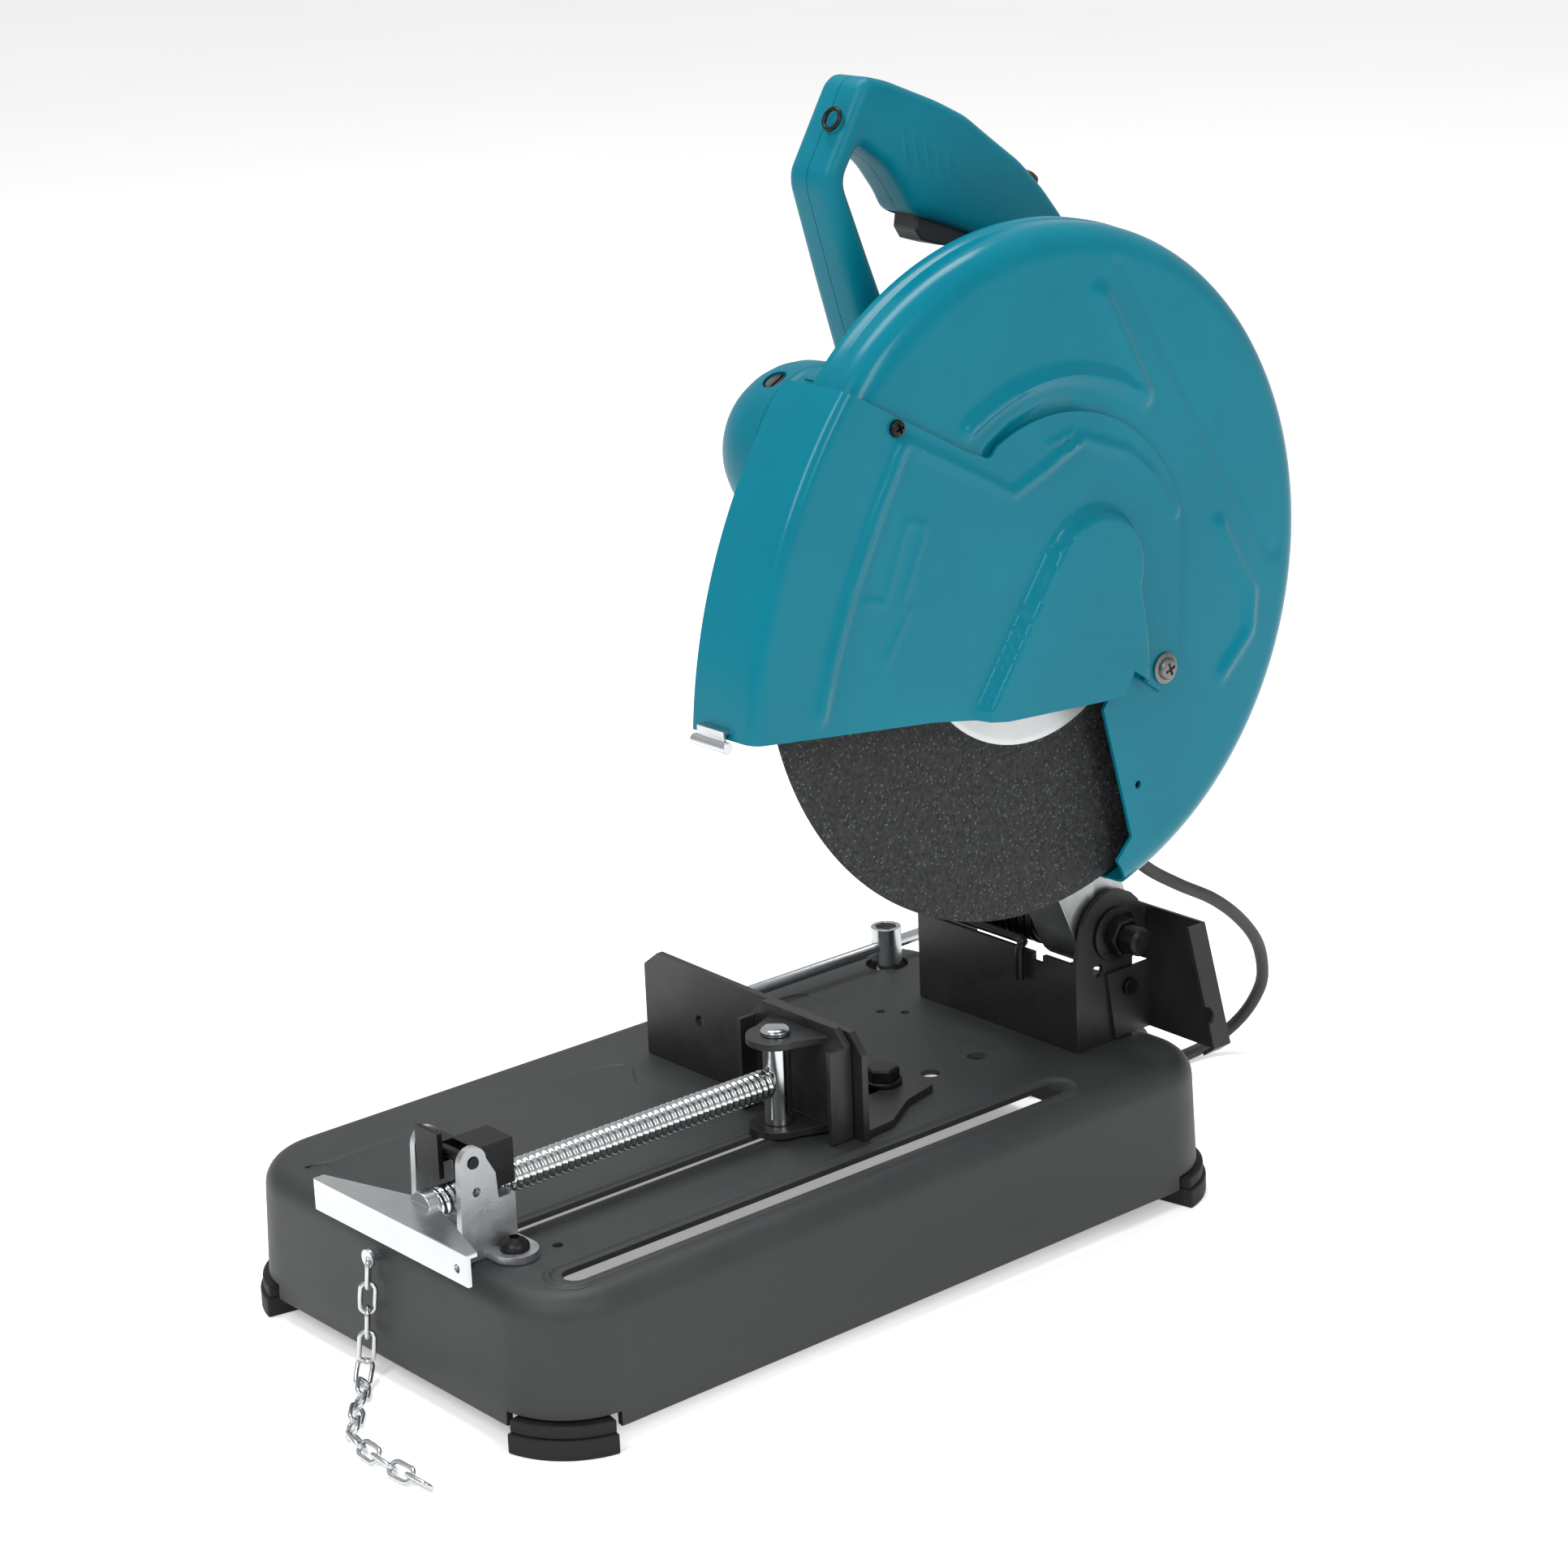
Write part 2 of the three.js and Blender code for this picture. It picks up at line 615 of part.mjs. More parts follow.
// ---------------------------------------------------------------- socket wrench and chain

function makeWrench() {
  const [x, y] = wrenchAt;
  const socket = barZ(wrenchAt, 9, 66, 106, 20);
  const shaft = rod([x, 62, 94], [x, 252, 94], 3.7, 12);
  return cut(join(socket, shaft), hexagonZ([x, y], 6.8, 98, 107), hexagonZ([x, y], 6.8, 65, 82));
}

add(saw, 'socket_wrench', makeWrench(), zincPlate);

const [eyeX, eyeY, eyeZ] = chainTop;
const chainScrew = join(
  rod([eyeX, eyeY - 5, eyeZ], [eyeX, eyeY + 12, eyeZ], 2.5, 10),
  rod([eyeX, eyeY - 5, eyeZ], [eyeX, eyeY - 3, eyeZ], 5, 12),
);
add(saw, 'chain_screw', chainScrew, zincPlate);

// The lock chain hangs from its screw and lies on the bench in front of the base.
const chainRadius = 3.6;
const chainRoute = [
  [-5.5, -240.5, 58], [-7, -241.5, 40], [-9, -242, 22], [-8.5, -244.5, 9], [-3, -250, 4], [8, -258, 3.8],
  [26, -274, 3.8], [46, -289, 3.8], [76, -293, 3.8], [108, -292, 3.8],
];
add(saw, 'lock_chain', bentRod(chainRoute, chainRadius, 8, 20), zincPlate);

// ---------------------------------------------------------------- arm and gear case

const wheelAxis = [wheelY, wheelZ];
const motorAxis = [motorY, motorZ];
const armLeft = 46;
const armRight = 78;
const armFloor = 56;
const gearDistance = Math.hypot(motorY - wheelY, motorZ - wheelZ);
const gearModule = (2 * gearDistance) / (gearTeeth + pinionTeeth);
const gearRadius = (gearModule * gearTeeth) / 2;
const pinionRadius = (gearModule * pinionTeeth) / 2;
const addendum = 0.8 * gearModule;
const dedendum = 1.15 * gearModule;
const caseInner = gearRadius + addendum + 2;
const caseOuter = caseInner + 6;
const spindleRadius = 8.5;
const spindleBearing = 17;
const motorBearing = 15;
const motorShaft = 6;

function makeArm() {
  const gearCase = strap(motorAxis, motorRadius, wheelAxis, caseOuter, armLeft, armRight);
  const beam = strap(wheelAxis, 36, pivot, 21, armLeft, armRight);
  const [hubLeft, hubRight] = [bracketLeft + bracketSheet + running, bracketRight - bracketSheet - running];
  const hub = barX(pivot, hubRadius, hubLeft, hubRight, 24);
  const cheek = barX(pivot, 19, bracketLeft + bracketSheet + running, springStart - springWire - 2, 24);
  const cavity = strap(motorAxis, 24, wheelAxis, caseInner, armFloor, armRight + 1);
  const bore = barX(pivot, pivotBoltRadius + running, bracketLeft, bracketRight, 20);
  const motorSeat = barX(motorAxis, motorBearing + fit, armLeft - 1, armFloor + 1, 24);
  const spindleSeat = barX(wheelAxis, spindleBearing + fit, armLeft + 2, armFloor + 1, 24);
  return cut(join(gearCase, beam, hub, cheek), cavity, bore, motorSeat, spindleSeat, ...glandRooms);
}

// The cord enters the back of the gear case, low down behind the guard.
const glandSeat = [62, 186, 262];
const glandLean = new THREE.Vector3(-6, 26, -40).normalize();
const along = (start, distance) => start.map((value, i) => value + glandLean.getComponent(i) * distance);
const glandRadius = 6;
const sleeveRadius = 7;
const glandRooms = [
  rod(along(glandSeat, -26), along(glandSeat, 12), glandRadius + fit, 12),
  rod(along(glandSeat, 9 - fit), along(glandSeat, 45), sleeveRadius + 1.5, 12),
];

add(head, 'arm', makeArm(), castAluminium);

function makeGearCover() {
  const x0 = armRight + fit;
  const lid = strap(motorAxis, 30, wheelAxis, caseOuter, x0, x0 + 6);
  const boss = barX(wheelAxis, 34, x0, guardInner - fit, 28);
  const seat = barX(wheelAxis, spindleBearing + fit, x0 + 3, x0 + 15, 24);
  const through = barX(wheelAxis, spindleRadius + running, x0 - 1, guardInner + 1, 20);
  return cut(join(lid, boss), seat, through, barX(wheelAxis, spindleBearing + fit, x0 - 1, x0 + 4, 24));
}

add(head, 'gear_cover', makeGearCover(), castAluminium);

// Straight-sided teeth, narrow enough to run clear of the mating ones.
function toothed(centre, teeth, pitchRadius, rootShare, tipShare, firstAngle, x0, x1) {
  const pitch = (2 * Math.PI) / teeth;
  const points = [];
  for (let i = 0; i < teeth; i += 1) {
    const middle = firstAngle + i * pitch;
    const [root, tip] = [[rootShare, -dedendum], [tipShare, addendum]];
    const sides = [[-root[0], root[1]], [-tip[0], tip[1]], tip, root];
    for (const [share, height] of sides) {
      const angle = middle + share * pitch;
      const radius = pitchRadius + height;
      points.push([centre[0] + radius * Math.cos(angle), centre[1] + radius * Math.sin(angle)]);
    }
  }
  return plateX(outline(points), x0, x1);
}

const towardsMotor = Math.atan2(motorZ - wheelZ, motorY - wheelY);
const gearStart = 60;
const gearEnd = 72;

function makeDriveGear() {
  const teeth = toothed(wheelAxis, gearTeeth, gearRadius, 0.25, 0.1, towardsMotor, gearStart, gearEnd);
  return cut(teeth, barX(wheelAxis, spindleRadius + fit, gearStart - 1, gearEnd + 1, 20));
}

add(head, 'drive_gear', makeDriveGear(), zincPlate);

const flangeStart = guardInner + guardSheet + 0.5;
const wheelLeft = wheelX - wheelThickness / 2;
const wheelRight = wheelX + wheelThickness / 2;

function makeSpindle() {
  const nose = barX(wheelAxis, wheelBore - fit, guardInner, wheelRight - 0.5, 20);
  const shaft = barX(wheelAxis, spindleRadius, armLeft + 3, flangeStart, 20);
  const boltHole = barX(wheelAxis, 5 + fit, wheelRight - 22, wheelRight + 1, 12);
  return cut(join(nose, shaft), boltHole);
}

add(head, 'spindle', makeSpindle(), zincPlate);

const bearing = (centre, inner, outer, x0, x1) => ringX(centre, inner + fit, outer, x0, x1, 20);
const leftSpindleBearing = bearing(wheelAxis, spindleRadius, spindleBearing, armLeft + 2.5, armFloor);
add(head, 'spindle_bearing_left', leftSpindleBearing, zincPlate);
const rightSeat = armRight + fit;
add(head, 'spindle_bearing_right', bearing(wheelAxis, spindleRadius, spindleBearing, rightSeat + 1, rightSeat + 14),
  zincPlate);
add(head, 'inner_flange', ringX(wheelAxis, wheelBore, 32, flangeStart, wheelLeft - fit, 28), zincPlate);
add(head, 'cutting_wheel', ringX(wheelAxis, wheelBore, wheelRadius, wheelLeft, wheelRight, 56), abrasive);
add(head, 'outer_flange', ringX(wheelAxis, 5 + fit, 32, wheelRight + fit, wheelRight + 5, 28), zincPlate);

function makeWheelBolt() {
  const seat = wheelRight + 5 + fit;
  const washer = barX(wheelAxis, 13, seat, seat + 2, 20);
  const hex = barX(wheelAxis, 10, seat + 1, seat + 10, 6);
  return join(washer, hex, barX(wheelAxis, 5, wheelRight - 20, seat + 1, 12));
}

add(head, 'wheel_bolt', makeWheelBolt(), zincPlate);

// ---------------------------------------------------------------- motor

const commutatorStart = -118;
const brushX = -106;
const brushAngle = 118;
const brushCap = 7;
const brushCapStart = motorRadius - 10;
const rearBearingStart = -136;
const rearBearingEnd = -126;

function brushPoint(distance, side = 1) {
  const angle = THREE.MathUtils.degToRad(brushAngle);
  return [brushX, motorY + side * distance * Math.cos(angle), motorZ + side * distance * Math.sin(angle)];
}

function makeMotorHousing() {
  return ringX(motorAxis, motorRadius - motorWall, motorRadius, coverJoint, motorBack, 36);
}

add(head, 'motor_housing', makeMotorHousing(), tealPlastic);

function makeMotorEndCover() {
  const x = coverJoint - fit;
  const r = motorRadius;
  const outer = [[x, 0], [x, r], [x - 8, r], [x - 26, r - 3], [x - 40, r - 11],
    [motorEnd + 3, r - 18], [motorEnd, r - 22],
    [motorEnd, 0]];
  const wall = motorWall;
  const inner = [[x + 1, 0], [x + 1, r - wall], [x - 8, r - wall], [x - 25, r - wall - 3], [x - 38, r - wall - 12],
    [motorEnd + 7, r - wall - 19], [motorEnd + 5, 0]];
  const dome = cut(turnedX(outer.reverse(), motorAxis, 24), turnedX(inner.reverse(), motorAxis, 24));
  const seat = ringX(motorAxis, 13 + fit, 17, motorEnd + 3, rearBearingEnd, 20);
  const caps = [1, -1].map((side) => rod(brushPoint(15, side), brushPoint(motorRadius + 10, side), brushCap + fit, 14));
  return cut(join(dome, seat), ...caps);
}

add(head, 'motor_end_cover', makeMotorEndCover(), tealPlastic);

const statorOuter = motorRadius - motorWall - fit;
add(head, 'stator', ringX(motorAxis, 29, statorOuter, -62, 16, 24), blackSteel);

function makeArmature() {
  const core = barX(motorAxis, 28, -60, 14, 20);
  const commutator = barX(motorAxis, 13, commutatorStart, -92, 16);
  const shaft = barX(motorAxis, motorShaft, rearBearingStart + 0.5, gearStart + 1, 12);
  const towardsWheel = towardsMotor + Math.PI;
  const halfPitch = Math.PI / pinionTeeth;
  const pinionTurn = towardsWheel + halfPitch;
  const pinion = toothed(motorAxis, pinionTeeth, pinionRadius, 0.23, 0.08, pinionTurn, gearStart, gearEnd);
  return join(core, commutator, shaft, pinion);
}

add(head, 'armature', makeArmature(), copper);

function makeFan() {
  const hub = barX(motorAxis, 12, 22, 34, 16);
  const disc = barX(motorAxis, 42, 22, 24, 24);
  let fan = join(hub, disc);
  const blades = 9;
  for (let i = 0; i < blades; i += 1) {
    const blade = new THREE.BoxGeometry(10, 24, 1.8);
    blade.translate(28, 28, 0);
    blade.rotateX((i / blades) * 2 * Math.PI);
    blade.translate(0, motorY, motorZ);
    fan = join(fan, toSolid(blade));
  }
  return cut(fan, barX(motorAxis, motorShaft + fit, 20, 36, 12));
}

add(head, 'cooling_fan', makeFan(), blackPlastic);
const frontBearing = bearing(motorAxis, motorShaft, motorBearing, armLeft + fit, armFloor - fit);
add(head, 'armature_bearing_front', frontBearing, zincPlate);
const rearBearing = bearing(motorAxis, motorShaft, 13, rearBearingStart, rearBearingEnd);
add(head, 'armature_bearing_rear', rearBearing, zincPlate);

// Each brush is a carbon block in its holder, kept in by a screwed cap.
for (const [name, side] of [['brush_upper', 1], ['brush_lower', -1]]) {
  const cap = rod(brushPoint(brushCapStart, side), brushPoint(brushCapStart + 8, side), brushCap, 14);
  const carbon = rod(brushPoint(13.5, side), brushPoint(brushCapStart + 1, side), 4, 8);
  add(head, name, join(cap, carbon), blackPlastic);
}

// ---------------------------------------------------------------- upper guard

const coverPivot = [coverPivotY, coverPivotZ];

// The region in front of and below the guard's edge, left open for the wheel and the cover.
function guardOpening(x0, x1) {
  const open = [[-140, 90], [172, 90], [166, 200], [159, 211], [171, 221], [158, 270], [150, 297], [172, 322]];
  open.push(...arcPoints(wheelAxis, 78, -25, 128, 16));
  open.push([-34, 480], [-140, 480]);
  return plateX(outline(open), x0, x1);
}

function makeUpperGuard() {
  const centre = [guardY, guardZ];
  const settings = [[guardInner, guardRadius], [guardOuter - 6, guardRadius], [guardOuter - 2, guardRadius - 2],
    [guardOuter, guardRadius - 7]];
  const outer = turnedX([[guardInner, 0], ...settings, [guardOuter, 0]], centre, 56);
  const inset = settings.map(([x, radius]) => [Math.min(Math.max(x, guardInner + guardSheet), guardOuter - guardSheet),
    radius - guardSheet]);
  const x0 = guardInner + guardSheet;
  const x1 = guardOuter - guardSheet;
  const inner = turnedX([[x0, 0], [x0, inset[0][1]], [x1 - 5, inset[0][1]], [x1, inset[3][1]], [x1, 0]], centre, 56);
  const spindleHole = barX(wheelAxis, wheelBore + 2, guardInner - 1, guardInner + 5, 20);
  const screwHole = barX(coverPivot, 4 + fit, guardOuter - 5, guardOuter + 1, 12);
  return cut(outer, inner, guardOpening(guardInner + 3, guardOuter + 1), backOpening(), spindleHole, screwHole);
}

// The wall on the motor's side reaches lower and further forward than the outer one.
function backOpening() {
  const open = [[-140, 90], [172, 90], [166, 200], [159, 211], [150, 240], [110, 285], [20, 310], [-34, 400],
    [-140, 400]];
  return plateX(outline(open), guardInner - 1, guardInner + 3);
}

add(head, 'upper_guard', makeUpperGuard(), tealPaint);

// ---------------------------------------------------------------- centre cover

const coverFace = guardOuter + running;
const coverOuter = coverFace + coverSheet;
const coverArc = [wheelY, wheelZ];

// The band's line, from its lower front edge up to its top.
const bandLine = (radius) => arcPoints(coverPivot, radius, coverBandEnd, coverBandTop, 8);

function makeCentreCover() {
  const side = bandLine(coverBandRadius);
  side.push([58, 449], [68, 443], [76, 447]);
  side.push(...arcPoints(coverArc, 94, 112, 18, 12));
  side.push(...arcPoints(coverPivot, 13, 30, -100, 7));
  side.push([165, 316], [156, 303.5], [74, 309], [28, 317.5]);
  const shape = outline(side.reverse());
  const plate = plateX(shape, coverFace, coverOuter);
  const band = bandLine(coverBandRadius);
  band.push(...bandLine(coverBandRadius - coverSheet).reverse());
  const front = plateX(outline(band.reverse()), coverInner, coverOuter - 0.5);
  const bossHeight = 9;
  const boss = [[60, 300], [176, 300], [180, 360]];
  boss.push(...arcPoints([148, 372], 32, -10, 145, 8));
  const bossShape = outline(boss);
  const bossLimit = plateX(shape, coverFace - 1, coverOuter + bossHeight);
  const raised = plateX(bossShape, coverFace, coverOuter + bossHeight).intersect(bossLimit);
  const hollow = [[62.5, 298], [173.5, 298], [177.5, 360]];
  hollow.push(...arcPoints([148, 372], 29.5, -10, 145, 8));
  const inside = plateX(outline(hollow), coverFace - 1, coverOuter + bossHeight - coverSheet);
  const screwHole = barX(coverPivot, 4 + fit, coverFace - 1, coverOuter + 20, 12);
  const clampHole = barX(clampAt, 2.5 + fit, coverFace - 1, coverOuter + 1, 10);
  const hookSlot = block(...grow(hookFoot, fit));
  const screwRoom = barX(coverPivot, 12, coverOuter, coverOuter + 20, 16);
  return cut(join(plate, front, raised), inside, screwHole, clampHole, hookSlot, screwRoom);
}

const grow = ([low, high], by) => [low.map((v) => v - by), high.map((v) => v + by)];
const clampAt = [9, 471];
const bandEnd = THREE.MathUtils.degToRad(coverBandEnd);
const bandBottomY = coverPivotY + coverBandRadius * Math.cos(bandEnd);
const coverBottom = coverPivotZ + coverBandRadius * Math.sin(bandEnd);
const hookFootEnd = [116, bandBottomY + coverSheet + 1.6, coverBottom + 5];
const hookFoot = [[96, bandBottomY - 4, coverBottom + 3], hookFootEnd];

add(head, 'centre_cover', makeCentreCover(), tealPaint);

// The hook that takes the chain's end to keep the head down for carrying.
function makeHook() {
  const [low, high] = hookFoot;
  const foot = block(low, high);
  const rollZ = coverBottom - 3;
  const drop = block([low[0], low[1], rollZ], [high[0], low[1] + 2, high[2]]);
  const roll = rod([low[0] - 3, low[1] + 0.5, rollZ], [high[0] + 3, low[1] + 0.5, rollZ], 3, 12);
  return join(foot, drop, roll);
}

add(head, 'cover_hook', makeHook(), zincPlate);

function makeClampScrew() {
  const seat = coverOuter + fit;
  return join(barX(clampAt, 4.5, seat, seat + 3, 14), barX(clampAt, 2.5, coverFace + 0.1, seat + 1, 10));
}

add(head, 'cover_clamp_screw', makeClampScrew(), blackSteel);

function makeCoverScrew() {
  const seat = coverOuter + fit;
  const washer = barX(coverPivot, 8, seat, seat + 1.5, 20);
  const screwHead = barX(coverPivot, 6, seat + 1, seat + 4, 16);
  return join(washer, screwHead, barX(coverPivot, 4, guardOuter - 8, seat + 1, 12));
}

add(head, 'cover_pivot_screw', makeCoverScrew(), blackSteel);

// ---------------------------------------------------------------- handle

const handleLeft = handleX - handleHalf;
const handleRight = handleX + handleHalf;
const buttonAt = [183.5, 558];
const buttonWay = Math.SQRT1_2;
const buttonRadius = 5.5;
const triggerHalf = 9;

function smoothOutline(points, tension = 0.35) {
  const stops = points.map(([u, v]) => new THREE.Vector3(u, v, 0));
  const curve = new THREE.CatmullRomCurve3(stops, true, 'catmullrom', tension);
  const along2 = curve.getPoints(points.length * 2);
  along2.pop();
  return along2.map((p) => [p.x, p.y]);
}

function makeHandleBlank() {
  const outer = [[60, 455], [56, 490], [44, 540], [34, 577], [40, 596], [52, 619], [64, 628], [79, 624],
    [112, 610.5], [131, 601], [149, 587.5], [169, 573], [185, 557], [199, 540], [210, 520], [216, 498],
    [216, 460], [206, 420], [158, 400], [80, 420]];
  const inner = [[54, 592], [46, 579], [60, 540], [72, 505], [84, 478], [120, 464], [166, 468], [180, 492],
    [172, 520], [146, 536], [118, 548], [94, 557], [88, 569]];
  const shape = outline(smoothOutline(outer).reverse());
  const blank = plateX(shape, handleLeft, handleRight, 5, 2);
  const gap = plateX(outline(smoothOutline(inner).reverse()), handleLeft - 1, handleRight + 1);
  const seat = barX(motorAxis, motorRadius + fit, handleLeft - 1, handleRight + 1, 40);
  const belowSeat = block([0, 60, 330], [90, 250, 420]);
  const [roomLeft, roomRight] = [armLeft - fit, handleRight + 1];
  const caseRoom = strap(motorAxis, motorRadius + fit, wheelAxis, caseOuter + fit, roomLeft, roomRight);
  return cut(blank, gap, seat, belowSeat, caseRoom);
}

const triggerShape = [[100, 560], [98, 547], [102, 541], [114, 537], [132, 533], [146, 537], [154, 545], [154, 553],
  [132, 566], [112, 568]];

function makeTrigger() {
  return plateX(outline(triggerShape), handleX - triggerHalf, handleX + triggerHalf);
}

function handleRooms() {
  const wide = triggerHalf + 0.6;
  const room = [[95, 562], [94, 530], [120, 520], [158, 528], [160, 556], [140, 578], [98, 582]];
  const triggerRoom = plateX(outline(room), handleX - wide, handleX + wide);
  const switchRoom = block(...grow(switchBox, fit));
  const [y, z] = buttonAt;
  const deep = 24;
  const buttonRoom = rod([handleX, y - deep * buttonWay, z - deep * buttonWay],
    [handleX, y + deep * buttonWay, z + deep * buttonWay], buttonRadius + running, 16);
  return [triggerRoom, switchRoom, buttonRoom];
}

const switchBox = [[handleX - 9, 100, 584.5], [handleX + 9, 130, 593]];

const rooms = handleRooms();
const blank = cut(makeHandleBlank(), ...rooms);
const leftSide = block([handleLeft - 5, 0, 380], [handleX - fit / 2, 260, 660]);
const rightSide = block([handleX + fit / 2, 0, 380], [handleRight + 5, 260, 660]);
add(head, 'handle_left', blank.intersect(leftSide), tealPlastic);
add(head, 'handle_right', blank.intersect(rightSide), tealPlastic);
add(head, 'switch_block', block(...switchBox), blackPlastic);
add(head, 'trigger', makeTrigger(), blackPlastic);

function makeButton() {
  const [y, z] = buttonAt;
  const at = (distance) => [handleX, y + distance * buttonWay, z + distance * buttonWay];
  return join(rod(at(-14), at(5.5), buttonRadius, 16), rod(at(5), at(7), buttonRadius, 16, buttonRadius - 1.5));
}

add(head, 'lock_off_button', makeButton(), blackPlastic);

// The wire ring lies flat against the handle's front face, near the top.
function makeHandleRing() {
  const wire = 1.2;
  const faceTurn = THREE.MathUtils.degToRad(62.5);
  const out = wire + fit + 0.4;
  const ring = new THREE.TorusGeometry(5.5, wire, 6, 14);
  ring.rotateX(faceTurn);
  ring.translate(handleX + 8, 46.5 - out * Math.sin(faceTurn), 608.5 + out * Math.cos(faceTurn));
  return toSolid(ring);
}

add(head, 'handle_ring', makeHandleRing(), blackSteel);

// ---------------------------------------------------------------- cord, coil and plug

function makeGland() {
  const collar = rod(along(glandSeat, -18), along(glandSeat, 10), glandRadius, 12);
  const sleeve = rod(along(glandSeat, 9), along(glandSeat, 36), sleeveRadius, 12, 5);
  return join(collar, sleeve);
}

add(head, 'cord_gland', makeGland(), rubber);

const cordStart = along(glandSeat, 36 + fit);
const cordNext = along(glandSeat, 56);
const cordFloor = cordRadius + 0.7;
const coilEntryX = coilCentre[0] + coilTurn;
const coilEntryY = coilCentre[1] + Math.sqrt(coilOuter ** 2 - (coilTurn - cordRadius) ** 2) + fit;
const cordRoute = [
  cordStart, cordNext, [56, 236, 186], [52, 262, 162], [49, 292, 143], [46, 324, 125], [41, 352, 104],
  [33, 376, 80], [24, 390, 54], [15.4, 393, 36.8], [7.4, 389.7, 22.8], [0.8, 381.4, 12.7],
  [coilEntryX + 1.7, 369.6, 6.5], [coilEntryX, 356, cordFloor], [coilEntryX, 344, cordFloor],
  [coilEntryX, coilEntryY, cordFloor],
];
add(saw, 'power_cord', bentRod(cordRoute, cordRadius, 8, 40), rubber);

function makeCoil() {
  const profile = [[coilInner, 0], [coilOuter, 0], [coilOuter, coilHeight], [coilInner, coilHeight], [coilInner, 0]];
  const ring = new THREE.LatheGeometry(profile.map(([r, z]) => new THREE.Vector2(r, z)), 28);
  ring.rotateX(Math.PI / 2);
  ring.translate(coilCentre[0], coilCentre[1], 0.2);
  return toSolid(ring);
}

add(saw, 'cord_coil', makeCoil(), rubber);

// The plug lies beside the coil, in line with the cord that leaves the coil's outermost turn.
function makePlug() {
  const x = coilCentre[0] - coilTurn;
  const z = cordFloor + 2 * cordRadius;
  const start = coilEntryY;
  const sleeve = rod([x, start, z], [x, start + 22, z], cordRadius, 12, 6.5);
  const half = z - 0.6;
  const body = block([x - 14, start + 20, z - half], [x + 14, start + 52, z + half]);
  let plug = join(sleeve, body);
  for (const side of [-6.5, 6.5]) {
    plug = join(plug, block([x + side - 1, start + 51, z - 3.5], [x + side + 1, start + 68, z + 3.5]));
  }
  return plug;
}

add(saw, 'mains_plug', makePlug(), rubber);

// ---------------------------------------------------------------- origin

// The origin is under the middle of the saw, on the bench, leaving out the cord and its plug.
const cordPieces = new Set(['power_cord', 'cord_coil', 'mains_plug', 'cord_gland']);
const extent = new THREE.Box3();
saw.updateMatrixWorld(true);
saw.traverse((piece) => {
  if (piece.isMesh && !cordPieces.has(piece.name)) {
    extent.expandByObject(piece, true);
  }
});
const middle = extent.getCenter(new THREE.Vector3());
saw.position.set(-middle.x, -middle.y, -extent.min.z);

export default saw;
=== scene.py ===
from math import atan2, cos, degrees, hypot, pi, radians, sin, sqrt

import bmesh
import bpy
from mathutils import Matrix, Vector


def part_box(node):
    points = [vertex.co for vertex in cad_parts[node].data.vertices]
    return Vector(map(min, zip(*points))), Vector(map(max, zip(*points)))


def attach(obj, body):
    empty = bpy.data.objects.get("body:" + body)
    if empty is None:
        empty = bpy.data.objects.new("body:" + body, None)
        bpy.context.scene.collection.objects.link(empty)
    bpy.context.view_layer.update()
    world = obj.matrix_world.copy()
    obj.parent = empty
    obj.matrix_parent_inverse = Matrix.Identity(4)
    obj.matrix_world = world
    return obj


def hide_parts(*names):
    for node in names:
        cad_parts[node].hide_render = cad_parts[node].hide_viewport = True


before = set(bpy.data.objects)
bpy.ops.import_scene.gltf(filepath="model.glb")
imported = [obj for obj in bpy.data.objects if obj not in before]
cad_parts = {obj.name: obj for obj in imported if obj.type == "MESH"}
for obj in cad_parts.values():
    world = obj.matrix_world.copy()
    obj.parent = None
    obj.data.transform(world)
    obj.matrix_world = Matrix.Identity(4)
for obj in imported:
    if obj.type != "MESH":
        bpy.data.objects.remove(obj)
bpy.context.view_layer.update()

# ------------------------------------------------------------------ datum and camera
# The maker's drawing counts millimetres from the middle of the base, up from the bench.
# The head's pivot bolt is at y 203, z 146 there, which ties the drawing to the frame.
bolt_low, bolt_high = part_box("pivot_bolt")
PIVOT = (203.0, 146.0)
shift_y = (bolt_low.y + bolt_high.y) / 2 - PIVOT[0] / 1000
shift_z = (bolt_low.z + bolt_high.z) / 2 - PIVOT[1] / 1000


def place(point):
    """A drawing point, in mm, as a point of the frame, in metres."""
    return Vector((point[0] / 1000, point[1] / 1000 + shift_y, point[2] / 1000 + shift_z))


def linked(name, data):
    """A new object in the scene."""
    made = bpy.data.objects.new(name, data)
    bpy.context.scene.collection.objects.link(made)
    return made


azimuth, elevation, roll = (radians(a) for a in (50.05, 17.88, -2.31))
across = Vector((cos(azimuth), sin(azimuth), 0))
behind = Vector((sin(azimuth) * cos(elevation), -cos(azimuth) * cos(elevation), sin(elevation)))
over = behind.cross(across)
right = across * cos(roll) + over * sin(roll)
top = over * cos(roll) - across * sin(roll)
camera_data = bpy.data.cameras.new("camera")
camera_data.lens = 86.4
camera_data.sensor_width = 36
camera_data.clip_end = 100
camera_at = (1463.7, -1184.9, 868.8)
camera_axes = Matrix((right, top, behind)).transposed().to_4x4()
camera = linked("camera", camera_data)
camera.matrix_world = Matrix.Translation(place(camera_at)) @ camera_axes
bpy.context.scene.camera = camera
# A plain transform keeps the enamel's full colour and lets the paper burn out to white.
bpy.context.scene.view_settings.view_transform = "Standard"

# ------------------------------------------------------------------ floor and light
# A white paper sweep under the saw, lit by three large soft boxes and a bright room.


def linear(colour):
    """A hex colour as linear red, green, blue and alpha."""
    parts = [int(colour[i:i + 2], 16) / 255 for i in (0, 2, 4)]
    return [p / 12.92 if p <= 0.04045 else ((p + 0.055) / 1.055) ** 2.4 for p in parts] + [1.0]


